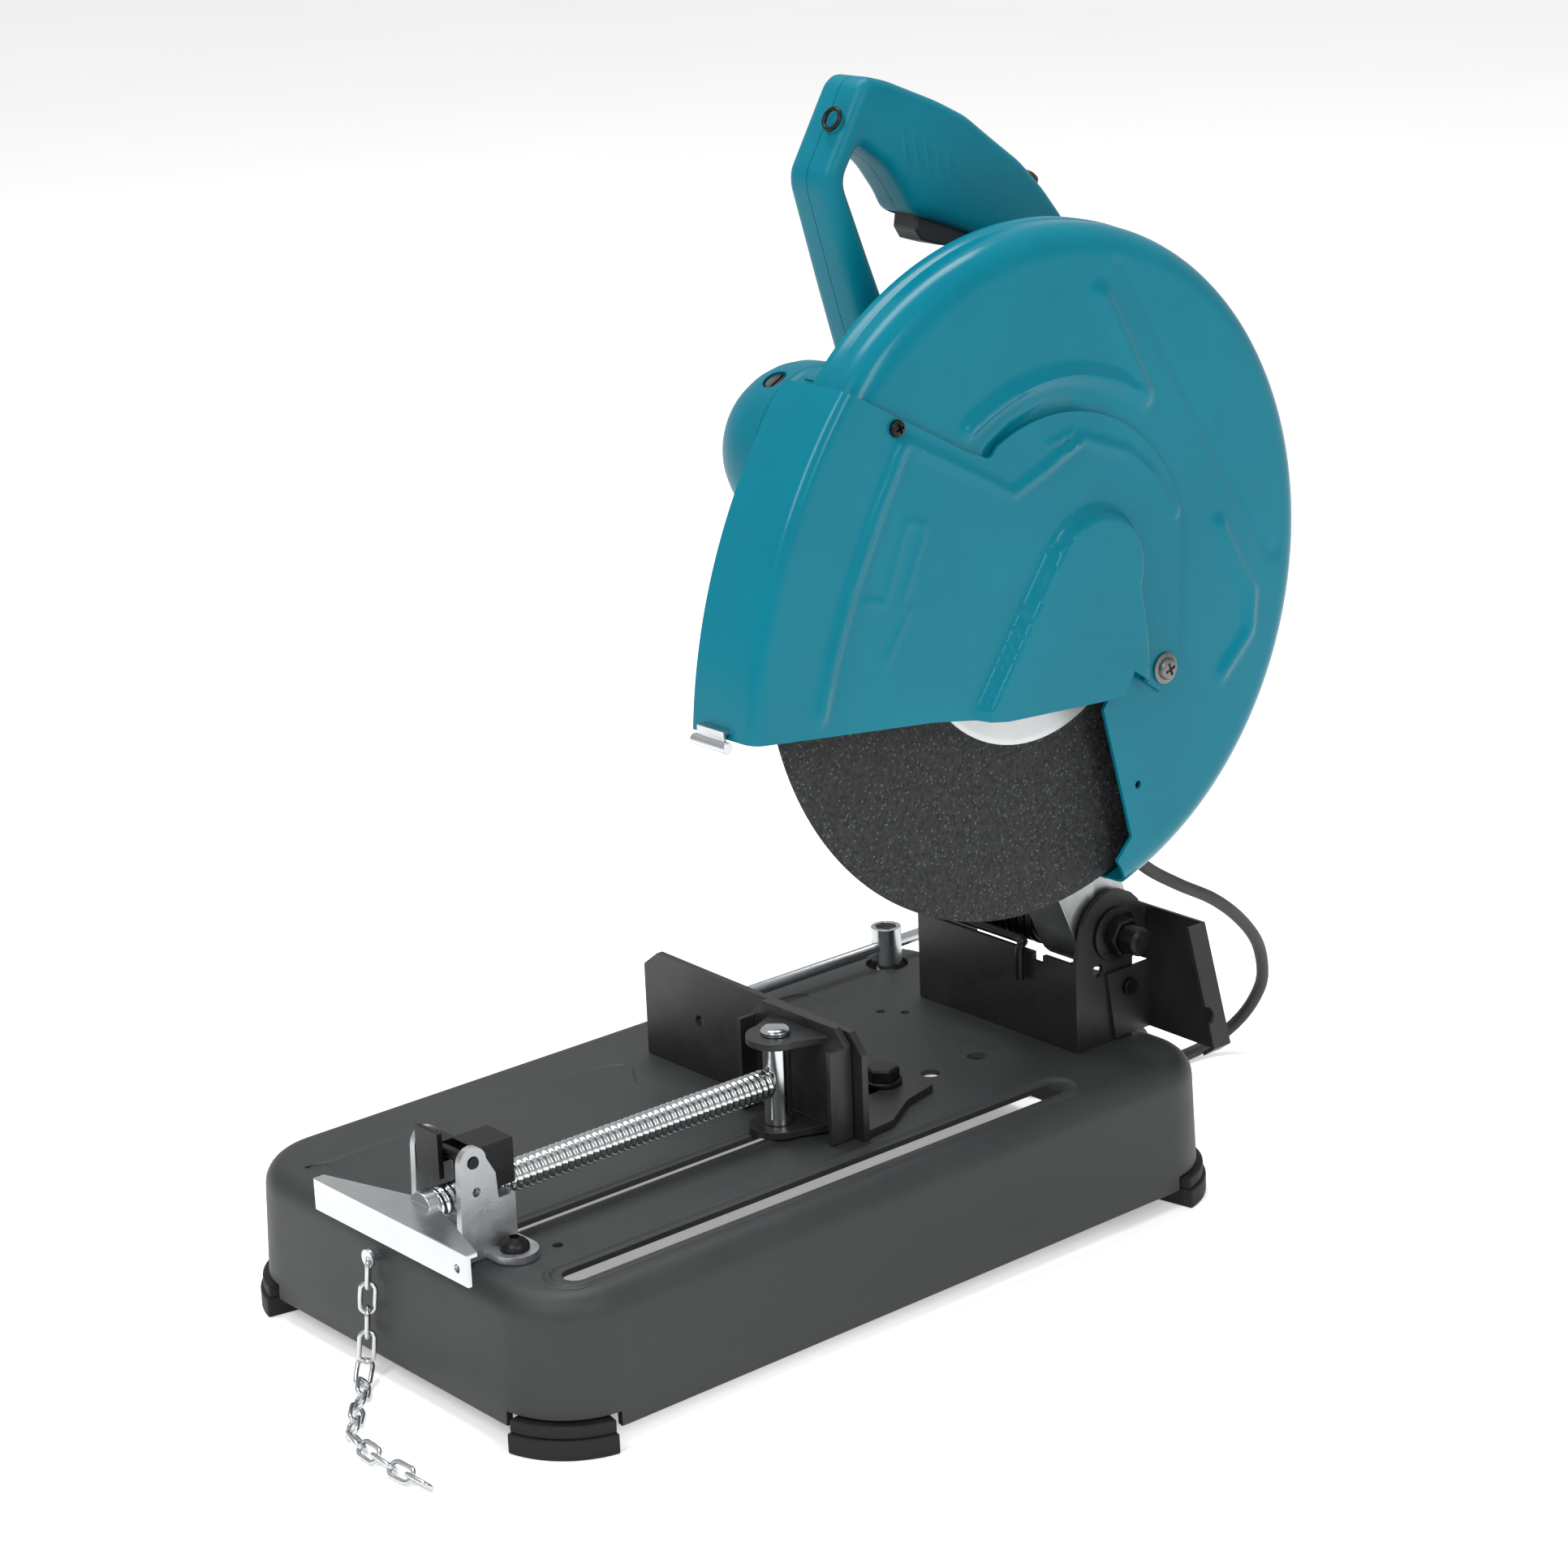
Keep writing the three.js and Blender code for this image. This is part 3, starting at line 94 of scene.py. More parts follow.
def add_node(tree, kind, inputs=None, **settings):
    """Adds a node, sets its properties, and sets or links its inputs."""
    made = tree.nodes.new(kind)
    for key, value in settings.items():
        setattr(made, key, value)
    for key, value in (inputs or {}).items():
        if isinstance(value, bpy.types.NodeSocket):
            tree.links.new(value, made.inputs[key])
        else:
            made.inputs[key].default_value = value
    return made


def maths(tree, operation, *values):
    """The result of one arithmetic node."""
    return add_node(tree, "ShaderNodeMath", dict(enumerate(values)), operation=operation).outputs[0]


def surface(name, tones, grain, relief=0.0, relief_grain=None, rough=(0.4, 0.5), stretch=(1, 1, 1),
            metallic=0.0, coat=0.0, specks=None, gloss=0.5):
    """A finish whose tone and roughness vary over `grain` mm and whose surface rises `relief` mm."""
    material = bpy.data.materials.new(name)
    material.use_nodes = True
    tree = material.node_tree
    shader = tree.nodes["Principled BSDF"]
    shader.inputs["Metallic"].default_value = metallic
    shader.inputs["Specular IOR Level"].default_value = gloss
    shader.inputs["Coat Weight"].default_value = coat
    shader.inputs["Coat Roughness"].default_value = 0.08
    where = add_node(tree, "ShaderNodeTexCoord")
    turned = add_node(tree, "ShaderNodeMapping", {"Vector": where.outputs["Object"], "Scale": stretch})
    broad = add_node(tree, "ShaderNodeTexNoise", {"Vector": turned.outputs["Vector"], "Scale": 1000 / grain,
                                                  "Detail": 5.0, "Roughness": 0.6})
    ramp = add_node(tree, "ShaderNodeValToRGB", {"Fac": broad.outputs["Fac"]})
    ramp.color_ramp.elements[0].position = 0.3
    ramp.color_ramp.elements[0].color = linear(tones[0])
    ramp.color_ramp.elements[1].position = 0.7
    ramp.color_ramp.elements[1].color = linear(tones[1])
    colour = ramp.outputs["Color"]
    if specks:
        tone, size, share = specks
        dots = add_node(tree, "ShaderNodeTexVoronoi", {"Vector": turned.outputs["Vector"],
                                                       "Scale": 1000 / size})
        chosen = add_node(tree, "ShaderNodeSeparateColor", {"Color": dots.outputs["Color"]})
        picked = maths(tree, "GREATER_THAN", chosen.outputs["Red"], 1 - share)
        near = maths(tree, "LESS_THAN", dots.outputs["Distance"], 0.42)
        both = maths(tree, "MULTIPLY", picked, near)
        mix = add_node(tree, "ShaderNodeMix", {"Factor": both}, data_type="RGBA")
        tree.links.new(colour, mix.inputs["A"])
        mix.inputs["B"].default_value = linear(tone)
        colour = mix.outputs["Result"]
    tree.links.new(colour, shader.inputs["Base Color"])
    spread = add_node(tree, "ShaderNodeMapRange", {"Value": broad.outputs["Fac"], "From Min": 0.3,
                                                   "From Max": 0.7, "To Min": rough[0], "To Max": rough[1]})
    tree.links.new(spread.outputs["Result"], shader.inputs["Roughness"])
    if relief:
        fine = add_node(tree, "ShaderNodeTexNoise", {"Vector": turned.outputs["Vector"],
                                                     "Scale": 1000 / relief_grain, "Detail": 3.0})
        bump = add_node(tree, "ShaderNodeBump", {"Height": fine.outputs["Fac"], "Distance": relief / 1000})
        tree.links.new(bump.outputs["Normal"], shader.inputs["Normal"])
    return material


# Matt white card: a little uneven, so it takes the light softly.
card = surface("white_card", ("F4F4F3", "F7F7F6"), 400, rough=(0.85, 0.9))
card.node_tree.nodes["Principled BSDF"].inputs["Emission Color"].default_value = (1, 1, 1, 1)
card.node_tree.nodes["Principled BSDF"].inputs["Emission Strength"].default_value = 0.34
sweep = bpy.data.meshes.new("floor")
sweep.from_pydata([(-20, -20, 0), (20, -20, 0), (20, 20, 0), (-20, 20, 0)], [], [(0, 1, 2, 3)])
sweep.materials.append(card)
floor = linked("floor", sweep)

world = bpy.data.worlds.new("bright_room")
world.use_nodes = True
world.node_tree.nodes["Background"].inputs["Color"].default_value = (1.0, 1.0, 1.0, 1.0)
world.node_tree.nodes["Background"].inputs["Strength"].default_value = 0.54
bpy.context.scene.world = world


def soft_box(name, at, aim, width, height, power):
    light = bpy.data.lights.new(name, "AREA")
    light.shape = "RECTANGLE"
    light.size, light.size_y, light.energy = width, height, power
    lamp = linked(name, light)
    lamp.location = at
    lamp.rotation_mode = "QUATERNION"
    lamp.rotation_quaternion = (Vector(aim) - Vector(at)).to_track_quat("-Z", "Y")


soft_box("key_box", (0.9, -2.4, 2.7), (0, 0, 0.3), 0.8, 1.6, 50)
soft_box("side_box", (2.7, -0.3, 2.0), (0, 0, 0.3), 0.5, 1.8, 30)
soft_box("top_box", (-0.8, 0.2, 3.2), (0, 0, 0.2), 2.2, 1.0, 75)

# ------------------------------------------------------------------ cord, coil and plug
# A 7.5 mm rubber-sheathed mains lead, about 2.5 m long. It leaves the arm through a tapered sleeve,
# falls to the bench behind the base, and is wound there in two layers with its plug beside it.


def mesh_of(name, points, faces):
    """A closed mesh from points in drawing millimetres, with its faces turned outwards."""
    mesh = bpy.data.meshes.new(name)
    mesh.from_pydata([place(p) for p in points], [], faces)
    shape = bmesh.new()
    shape.from_mesh(mesh)
    bmesh.ops.remove_doubles(shape, verts=shape.verts, dist=1e-6)
    bmesh.ops.dissolve_degenerate(shape, edges=shape.edges, dist=1e-7)
    bmesh.ops.recalc_face_normals(shape, faces=shape.faces)
    shape.to_mesh(mesh)
    shape.free()
    return mesh


def put_on(name, mesh, body, material, nodes=(), edge=0.0, turn=32, steps=2):
    """Puts a mesh on a body in place of CAD nodes; `edge` rounds its sharp edges by that many mm."""
    piece = linked(name, mesh)
    mesh.materials.clear()
    mesh.materials.append(material)
    mesh.shade_smooth()
    mesh.set_sharp_from_angle(angle=radians(turn))
    if edge:
        bevel = piece.modifiers.new("rounded_edges", "BEVEL")
        bevel.width = edge / 1000
        bevel.segments = steps
        bevel.limit_method = "ANGLE"
        bevel.angle_limit = radians(turn)
        bevel.harden_normals = True
        bevel.use_clamp_overlap = True
    if nodes:
        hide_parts(*nodes)
    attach(piece, body)
    return piece


def shaped(name, shape, body, material, nodes=(), **finish):
    """Puts a shape, as points and faces, on a body in place of CAD nodes."""
    return put_on(name, mesh_of(name, *shape), body, material, nodes, **finish)


def loft(rings, ends=True, close=False):
    """Skins a row of rings with the same number of points, and fills the first and last one.

    `close` joins the last ring to the first, and then neither is filled.
    """
    size = len(rings[0])
    points = [p for ring in rings for p in ring]
    faces = []
    for i in range(len(rings) if close else len(rings) - 1):
        a, b = i * size, ((i + 1) % len(rings)) * size
        faces += [(a + k, a + (k + 1) % size, b + (k + 1) % size, b + k) for k in range(size)]
    if ends and not close:
        faces.append(tuple(range(size))[::-1])
        faces.append(tuple(range(len(points) - size, len(points))))
    return points, faces


def tube(path, radius, sides=16):
    """A round bar of drawing millimetres along a path."""
    path = [Vector(p) for p in path]
    rings, side = [], None
    for i, here in enumerate(path):
        ahead = (path[min(i + 1, len(path) - 1)] - path[max(i - 1, 0)]).normalized()
        if side is None:
            side = ahead.orthogonal().normalized()
        side = (side - ahead * side.dot(ahead)).normalized()
        other = ahead.cross(side)
        turns = [2 * pi * k / sides for k in range(sides)]
        rings.append([here + (side * cos(turn) + other * sin(turn)) * radius for turn in turns])
    return loft(rings)


def smooth_path(points, step):
    """Points about `step` mm apart on a smooth curve through the given ones."""
    points = [Vector(p) for p in points]
    made = []
    for i in range(len(points) - 1):
        a, b = points[i], points[i + 1]
        before = points[i - 1] if i else a * 2 - b
        after = points[i + 2] if i + 2 < len(points) else b * 2 - a
        count = max(2, round((b - a).length / step))
        for k in range(count):
            t = k / count
            made.append(0.5 * ((2 * a) + (b - before) * t + (2 * before - 5 * a + 4 * b - after) * t ** 2
                               + (3 * a - before - 3 * b + after) * t ** 3))
    made.append(points[-1])
    return made


cord_radius = 3.75
gland_seat = Vector((62, 186, 262))
gland_lean = Vector((-6, 26, -40)).normalized()
coil_at = Vector((-62, 302, 0))
coil_turn = 56.75
coil_side = coil_at.x + coil_turn
cord_floor = cord_radius + 0.7
cord_route = [gland_seat + gland_lean * 36.3, gland_seat + gland_lean * 56, (56, 236, 186), (52, 262, 162),
              (49, 292, 143), (46, 324, 125), (41, 352, 104), (33, 376, 80), (24, 390, 54),
              (15.4, 393, 36.8), (7.4, 389.7, 22.8), (0.8, 381.4, 12.7), (coil_side + 1.7, 369.6, 6.5)]
cord_route += [(coil_side, y, cord_floor) for y in (356, 344, 326, 302)]
cord_path = smooth_path(cord_route, 6)
layer_turns = 3.5
turn_steps = 48
whole = round((2 * layer_turns + 0.5) * turn_steps)
for i in range(1, whole + 1):
    gone = i / turn_steps
    rise = min(max((gone - layer_turns) / 0.5, 0), 1)
    rise = rise * rise * (3 - 2 * rise)
    inwards = min(gone, layer_turns)
    outwards = max(gone - layer_turns - 0.5, 0)
    radius = coil_turn - (inwards - outwards) * 2 * cord_radius
    angle = -2 * pi * gone
    cord_path.append(coil_at + Vector((radius * cos(angle), radius * sin(angle),
                                       cord_floor + rise * 2 * cord_radius)))
plug_start = (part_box("mains_plug")[0].y - shift_y) * 1000
last = cord_path[-1]
cord_path += [Vector((last.x, last.y + (plug_start - 0.4 - last.y) * k / 4, last.z)) for k in range(1, 5)]

# PVC sheath: matt black, very slightly mottled, with a faint drawn texture.
sheath = surface("pvc_sheath", ("151515", "1E1E1E"), 14, 0.05, 1.2, rough=(0.5, 0.62))
cord_points, cord_faces = tube(cord_path, cord_radius, 12)
lead = put_on("mains_lead", mesh_of("mains_lead", cord_points, cord_faces), "base", sheath,
              ("power_cord", "cord_coil"), turn=60)


def square_to(direction):
    """Three directions square to one another, the first along the given one."""
    axis = Vector(direction).normalized()
    side = axis.orthogonal().normalized()
    return axis, side, axis.cross(side)


def turned(profile, start, direction, sides=40):
    """A turned piece: (distance, radius) pairs along an axis that leaves `start` in `direction`."""
    axis, side, other = square_to(direction)
    turns = [2 * pi * k / sides for k in range(sides)]
    rings = [[Vector(start) + axis * distance + (side * cos(a) + other * sin(a)) * radius for a in turns]
             for distance, radius in profile]
    return loft(rings, ends=False)


def rod(first, end, radius, start, direction, sides=40):
    """A plain round bar between two distances along an axis: a stud, a pin or the tool for a bore."""
    return turned([(first, 0), (first, radius), (end, radius), (end, 0)], start, direction, sides)


# Moulded rubber for the gland, plug and feet: dull black with a fine spark-eroded texture.
moulded_rubber = surface("moulded_rubber", ("131313", "1C1C1C"), 9, 0.12, 0.9, rough=(0.6, 0.75), gloss=0.3)
# The gland's sleeve tapers and is ringed by grooves, so it bends evenly.
sleeve = [(-18, 0), (-18, 6), (9, 6), (9.2, 7)]
for i in range(6):
    at = 11 + i * 4
    size = 7 - 2 * (at - 9) / 27
    sleeve += [(at, size), (at + 0.4, size - 0.9), (at + 1.6, size - 0.9), (at + 2, size - 0.1)]
sleeve += [(36, 5), (36, 3.9), (36, 0)]
gland = shaped("cord_sleeve", turned(sleeve, gland_seat, gland_lean, 28), "head",
               moulded_rubber, ("cord_gland",), turn=50)
plug_x = coil_at.x - coil_turn
plug_z = cord_floor + 2 * cord_radius
plug_sleeve = turned([(0, 0), (0, cord_radius), (6, 4.6), (7, 4.2), (9, 4.4), (10, 5.2), (13, 5.4), (14, 5),
                      (16, 5.2), (17, 6), (21, 6.5), (21, 0)], (plug_x, plug_start, plug_z), (0, 1, 0), 24)


along_x, up = (1, 0, 0), (0, 0, 1)


def bar(low, high):
    """A square-edged block between two corners."""
    xs, ys, zs = zip(low, high)
    points = [(x, y, z) for x in xs for y in ys for z in zs]
    faces = [(0, 1, 3, 2), (4, 6, 7, 5), (0, 4, 5, 1), (2, 3, 7, 6), (0, 2, 6, 4), (1, 5, 7, 3)]
    return points, faces


def block(corners):
    """A block from eight corners: four round one end, then the same four round the other."""
    return corners, [(0, 1, 2, 3), (7, 6, 5, 4), (0, 4, 5, 1), (1, 5, 6, 2), (2, 6, 7, 3), (3, 7, 4, 0)]


def gather(*parts):
    """Several shapes as one list of points and one of faces."""
    points, faces = [], []
    for some_points, some_faces in parts:
        start = len(points)
        points += list(some_points)
        faces += [tuple(start + i for i in face) for face in some_faces]
    return points, faces


plug_half = plug_z - 0.6
plug_body = bar((plug_x - 14, plug_start + 20, plug_z - plug_half),
                (plug_x + 14, plug_start + 52, plug_z + plug_half))
plug = shaped("plug_body", gather(plug_sleeve, plug_body), "base", moulded_rubber,
              ("mains_plug",), edge=2.2, steps=3)
# Nickel-plated brass blades stand out of the plug's face.
bright_nickel = surface("bright_nickel", ("C9C4B4", "D8D4C8"), 6, rough=(0.18, 0.3), metallic=1.0)
blade_back, blade_tip = plug_start + 51, plug_start + 68
blades = [bar((plug_x + s - 1, blade_back, plug_z - 3.5), (plug_x + s + 1, blade_tip, plug_z + 3.5))
          for s in (-6.5, 6.5)]
prongs = shaped("plug_blades", gather(*blades), "base", bright_nickel, edge=0.3)

# ------------------------------------------------------------------ base pan
# Deep-drawn sheet steel, 3 mm, with soft corners, a slot for the wheel and a groove for the vise.
# It is powder-coated in dark grey with a fine, matt texture.
base_width, base_length, base_low, table = 276.0, 466.0, 11.3, 82.6
base_corner, base_spread = 42.0, 3.0
powder_coat = surface("powder_coat_grey", ("282A2B", "2F3132"), 60, 0.06, 0.7, rough=(0.5, 0.62), gloss=0.4)


def pan_ring(inset, z, count=14):
    """One level line round the pan, `inset` mm inside its widest line at the top."""
    fall = base_spread * (table - z) / (table - base_low)
    half_x, half_y = base_width / 2 + fall - inset, base_length / 2 + fall - inset
    corner = max(base_corner + fall - inset, 2)
    ring = []
    for sx, sy, start in ((1, 1, 0), (-1, 1, 90), (-1, -1, 180), (1, -1, 270)):
        for k in range(count + 1):
            angle = radians(start + 90 * k / count)
            ring.append((sx * (half_x - corner) + corner * cos(angle),
                         sy * (half_y - corner) + corner * sin(angle), z))
    return ring


soft_edge = 13.0
rings = [pan_ring(4.2, base_low + 0.4), pan_ring(3.4, base_low), pan_ring(0.6, base_low),
         pan_ring(0, base_low + 0.8)]
rings += [pan_ring(0, z) for z in (30, 50, 64)]
for i in range(9):
    angle = radians(90 * i / 8)
    rings.append(pan_ring(soft_edge * (1 - cos(angle)), table - soft_edge * (1 - sin(angle))))
inside_edge = soft_edge - 3
inner_rings = []
for i in range(7):
    angle = radians(90 - 90 * i / 6)
    inner_rings.append(pan_ring(3 + inside_edge * (1 - cos(angle)),
                                table - 3 - inside_edge * (1 - sin(angle))))
outer_shell, inner_shell = loft(rings), loft([pan_ring(4.2, base_low - 6), pan_ring(4.2, base_low + 0.4)]
                                             + inner_rings[::-1])


def carve(piece, tool, operation="DIFFERENCE"):
    """Cuts a piece with a tool, or keeps what both hold, and takes the tool away."""
    step = piece.modifiers.new("carve", "BOOLEAN")
    step.object = tool
    step.operation = operation
    step.solver = "EXACT"
    graph = bpy.context.evaluated_depsgraph_get()
    result = bpy.data.meshes.new_from_object(piece.evaluated_get(graph))
    piece.modifiers.clear()
    piece.data = result
    bpy.data.objects.remove(tool)


def taken(piece):
    """The mesh of an unfinished object, which is then removed."""
    mesh = piece.data.copy()
    bpy.data.objects.remove(piece)
    return mesh


def merged(name, *meshes):
    """Several meshes as one."""
    shape = bmesh.new()
    for mesh in meshes:
        shape.from_mesh(mesh)
    whole = bpy.data.meshes.new(name)
    shape.to_mesh(whole)
    shape.free()
    return whole


def loose(name, points, faces):
    """An unfinished object, to carve or to be carved."""
    made = linked(name, mesh_of(name, points, faces))
    return made


def cut(piece, shape, operation="DIFFERENCE"):
    """Carves a piece with a shape of points and faces."""
    carve(piece, loose("tool", *shape), operation)


def stadium(start, end, radius, count=10):
    """The outline round a slot between two points of a plane."""
    angle = atan2(end[1] - start[1], end[0] - start[0])
    outline = []
    for centre, first in ((end, angle - pi / 2), (start, angle + pi / 2)):
        for k in range(count + 1):
            turn = first + pi * k / count
            outline.append((centre[0] + radius * cos(turn), centre[1] + radius * sin(turn)))
    return outline


def slab(outline, low, high, axis="z"):
    """An outline made solid along an axis."""
    if axis == "x":
        return loft([[(w, u, v) for u, v in outline] for w in (low, high)])
    return loft([[(u, v, w) for u, v in outline] for w in (low, high)])


def sector(sx, sy, inner, outer, spread, low, high, count=12):
    """The corner sector that a foot fills, about the pan's corner centre."""
    cx, cy = sx * (base_width / 2 - base_corner), sy * (base_length / 2 - base_corner)
    middle = degrees(atan2(sy, sx))
    outline = []
    for radius, first, end in ((outer, -spread, spread), (inner, spread, -spread)):
        for k in range(count + 1):
            angle = radians(middle + first + (end - first) * k / count)
            outline.append((cx + radius * cos(angle), cy + radius * sin(angle)))
    return slab(outline, low, high)


pan = loose("base_pan", *outer_shell)
cut(pan, inner_shell)
wheel_x, slot_half = 110.0, 7.0
slot_front, slot_back = -203.0, 136.0
groove_x, groove_front, groove_back = 46.0, -201.0, -13.0
tool_low, tool_high = 60, 100
wheel_slot = stadium((wheel_x, slot_front + slot_half), (wheel_x, slot_back - slot_half), slot_half)
vise_groove = stadium((groove_x, groove_front + 5), (groove_x, groove_back - 5), 4)
cuts = [slab(wheel_slot, tool_low, tool_high), slab(vise_groove, tool_low, tool_high)]
table_holes = [(-98, 197, 12.6, 40), (46, 98.8, 5.4, 24), (46, 133.4, 5.4, 24), (-42.5, 141.9, 2.6, 24),
               (-31.5, 150.7, 2.6, 24), (76.8, -181.5, 2.8, 24)]
for x, y, size, sides in table_holes:
    cuts.append(rod(0, 50, size, (x, y, tool_low), up, sides))
for tool in cuts:
    cut(pan, tool)
corners = [("front_left", -1, -1), ("front_right", 1, -1), ("rear_left", -1, 1), ("rear_right", 1, 1)]
foot_top = 18.0
for place_name, sx, sy in corners:
    cut(pan, sector(sx, sy, 20, 55, 39.5, 0, foot_top + 1.5))


def pressed_line(line, normal, width, height, closed=False):
    """A smooth raised bead, as a press leaves along a line in sheet metal."""
    line = [Vector(p) for p in line]
    normal = Vector(normal)
    across_count, sunk, root = 8, 0.02, 0.6
    rings = []
    for i, here in enumerate(line):
        before = line[i - 1] if i or closed else here
        after = line[(i + 1) % len(line)] if i + 1 < len(line) or closed else here
        side = normal.cross(after - before).normalized()
        fade = 1 if closed else min(1, 0.15 + min(i, len(line) - 1 - i) / 3)
        ring = []
        for k in range(across_count + 1):
            s = -1 + 2 * k / across_count
            ring.append(here + side * (s * width / 2 * (0.5 + 0.5 * fade))
                        + normal * (height * fade * 0.5 * (1 + cos(pi * s)) - sunk))
        rings.append(ring + [here - normal * root])
    return loft(rings, close=closed)


beads = []
for start, end, radius in (((wheel_x, slot_front + 5), (wheel_x, slot_back - 5), 12.5),
                           ((groove_x, groove_front + 5), (groove_x, groove_back - 5), 8.5)):
    rim_line = [(x, y, table) for x, y in stadium(start, end, radius)]
    beads.append(pressed_line(rim_line, up, 6, 1.6, closed=True))
panels = [([(-58, -24), (-93, -24), (-93, -204), (-91, -206), (-60, -206)], 0.9),
          ([(-60, 72), (-96, 72), (-96, 128), (-60, 128)], 0.8)]
for panel, height in panels:
    beads.append(pressed_line(smooth_path([(x, y, table) for x, y in panel], 4), up, 5, height))
put_on("base_pan", merged("base_pan", taken(pan), mesh_of("table_beads", *gather(*beads))), "base",
       powder_coat, ("base_shell",), turn=38)

# ------------------------------------------------------------------ feet
# Four moulded rubber blocks fill the pan's corners; each has a thick sole and a thinner collar.
for place_name, sx, sy in corners:
    sole = sector(sx, sy, 22, 50, 34, 0, 11)
    collar = sector(sx, sy, 23, 48.4, 33.4, 10.8, foot_top)
    shaped(f"rubber_{place_name}", gather(sole, collar), "base", moulded_rubber,
           (f"foot_{place_name}",), edge=1.2, steps=3)

# ------------------------------------------------------------------ pivot bracket and spring
# A folded steel bracket carries the head on one thick bolt; a torsion spring lifts the head.
# The steel is black: stove enamel on the sheets, oxide on the bolts and the spring.
black_enamel = surface("black_enamel", ("191A1B", "222325"), 30, 0.05, 1.0, rough=(0.36, 0.5))
black_oxide = surface("black_oxide", ("161617", "26262A"), 8, 0.03, 0.8, rough=(0.3, 0.45), metallic=0.7)


def softened(node, name, width, material, body, turn=40, steps=2):
    """A CAD piece copied with its edges rounded as bending, casting or filing leaves them."""
    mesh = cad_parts[node].data.copy()
    shape = bmesh.new()
    shape.from_mesh(mesh)
    bmesh.ops.remove_doubles(shape, verts=shape.verts, dist=1e-5)
    bmesh.ops.dissolve_limit(shape, angle_limit=radians(1), verts=shape.verts, edges=shape.edges)
    shape.to_mesh(mesh)
    shape.free()
    return put_on(name, mesh, body, material, (node,), edge=width, turn=turn, steps=steps)


softened("pivot_bracket", "bracket_sheet", 0.6, black_enamel, "base")
softened("spark_guard", "spark_plate", 0.4, black_enamel, "base")
softened("spark_guard_screw", "spark_screw", 0.4, black_oxide, "base")


def hexagon_head(centre, direction, radius, height, washer=0.0):
    """A forged hexagon head: a washer face, six flats and a chamfered top."""
    axis, side, other = square_to(direction)
    corners = [side * cos(a) + other * sin(a) for a in (pi / 3 * k for k in range(6))]
    rings = [[Vector(centre) + axis * distance + corner * radius * size for corner in corners]
             for distance, size in ((washer, 1.0), (height - 1.2, 1.0), (height, 0.88))]
    parts = [loft(rings)]
    if washer:
        parts.append(turned([(0, 0), (0, radius * 1.12), (washer * 0.8, radius * 1.12), (washer, radius),
                             (washer, 0)], centre, direction, 40))
    return gather(*parts)


bracket_left, bracket_right = -44.0, 84.0
pivot_left = (bracket_left - 0.3, *PIVOT)
pivot_right = (bracket_right + 0.3, *PIVOT)
shank = turned([(0, 0), (0, 8), (150, 8), (151.5, 6.5), (151.5, 0)], (bracket_left - 0.4, *PIVOT), along_x)
bolt_shape = gather(hexagon_head(pivot_left, (-1, 0, 0), 13, 9), shank)
shaped("pivot_bolt_body", bolt_shape, "base", black_oxide, ("pivot_bolt",), edge=0.4)
nut_flange = turned([(0, 8.4), (0, 15.5), (2, 15.5), (3.2, 12), (3.2, 8.4), (0, 8.4)], pivot_right, along_x)
nut_rings = []
for distance, outer in ((3, 11.2), (10, 11.2), (11, 10.2)):
    nut_rings.append([(bracket_right + 0.3 + distance, PIVOT[0] + outer * cos(pi * k / 3),
                       PIVOT[1] + outer * sin(pi * k / 3)) for k in range(6)])
nut = loose("nut", *loft(nut_rings))
cut(nut, rod(-5, 20, 8.4, pivot_right, along_x))
nut_mesh = merged("pivot_nut_body", mesh_of("nut_flange", *nut_flange), taken(nut))
put_on("pivot_nut_body", nut_mesh, "base", black_oxide, ("pivot_nut",), edge=0.35)


def tree_inputs(name, **sizes):
    """A geometry tree with a named number input for each size."""
    tree = bpy.data.node_groups.new(name, "GeometryNodeTree")
    tree.interface.new_socket("Geometry", in_out="OUTPUT", socket_type="NodeSocketGeometry")
    for key, value in sizes.items():
        kind = "NodeSocketInt" if isinstance(value, int) else "NodeSocketFloat"
        tree.interface.new_socket(key, in_out="INPUT", socket_type=kind)
    given = tree.nodes.new("NodeGroupInput")
    return tree, given


def grown(name, tree, **sizes):
    """Runs a geometry tree with these sizes and returns the result as one plain mesh."""
    holder = linked(name, bpy.data.meshes.new(name))
    modifier = holder.modifiers.new(name, "NODES")
    modifier.node_group = tree
    for item in tree.interface.items_tree:
        if item.in_out == "INPUT" and item.name in sizes:
            modifier[item.identifier] = sizes[item.name]
    holder.update_tag()
    graph = bpy.context.evaluated_depsgraph_get()
    mesh = bpy.data.meshes.new_from_object(holder.evaluated_get(graph))
    bpy.data.objects.remove(holder)
    return mesh


def finish_tree(tree, geometry, material):
    """Ends a tree in plain geometry with its finish set."""
    real = add_node(tree, "GeometryNodeRealizeInstances", {"Geometry": geometry})
    done = add_node(tree, "GeometryNodeSetMaterial", {"Geometry": real.outputs["Geometry"],
                                                      "Material": material})
    end = tree.nodes.new("NodeGroupOutput")
    tree.links.new(done.outputs["Geometry"], end.inputs["Geometry"])


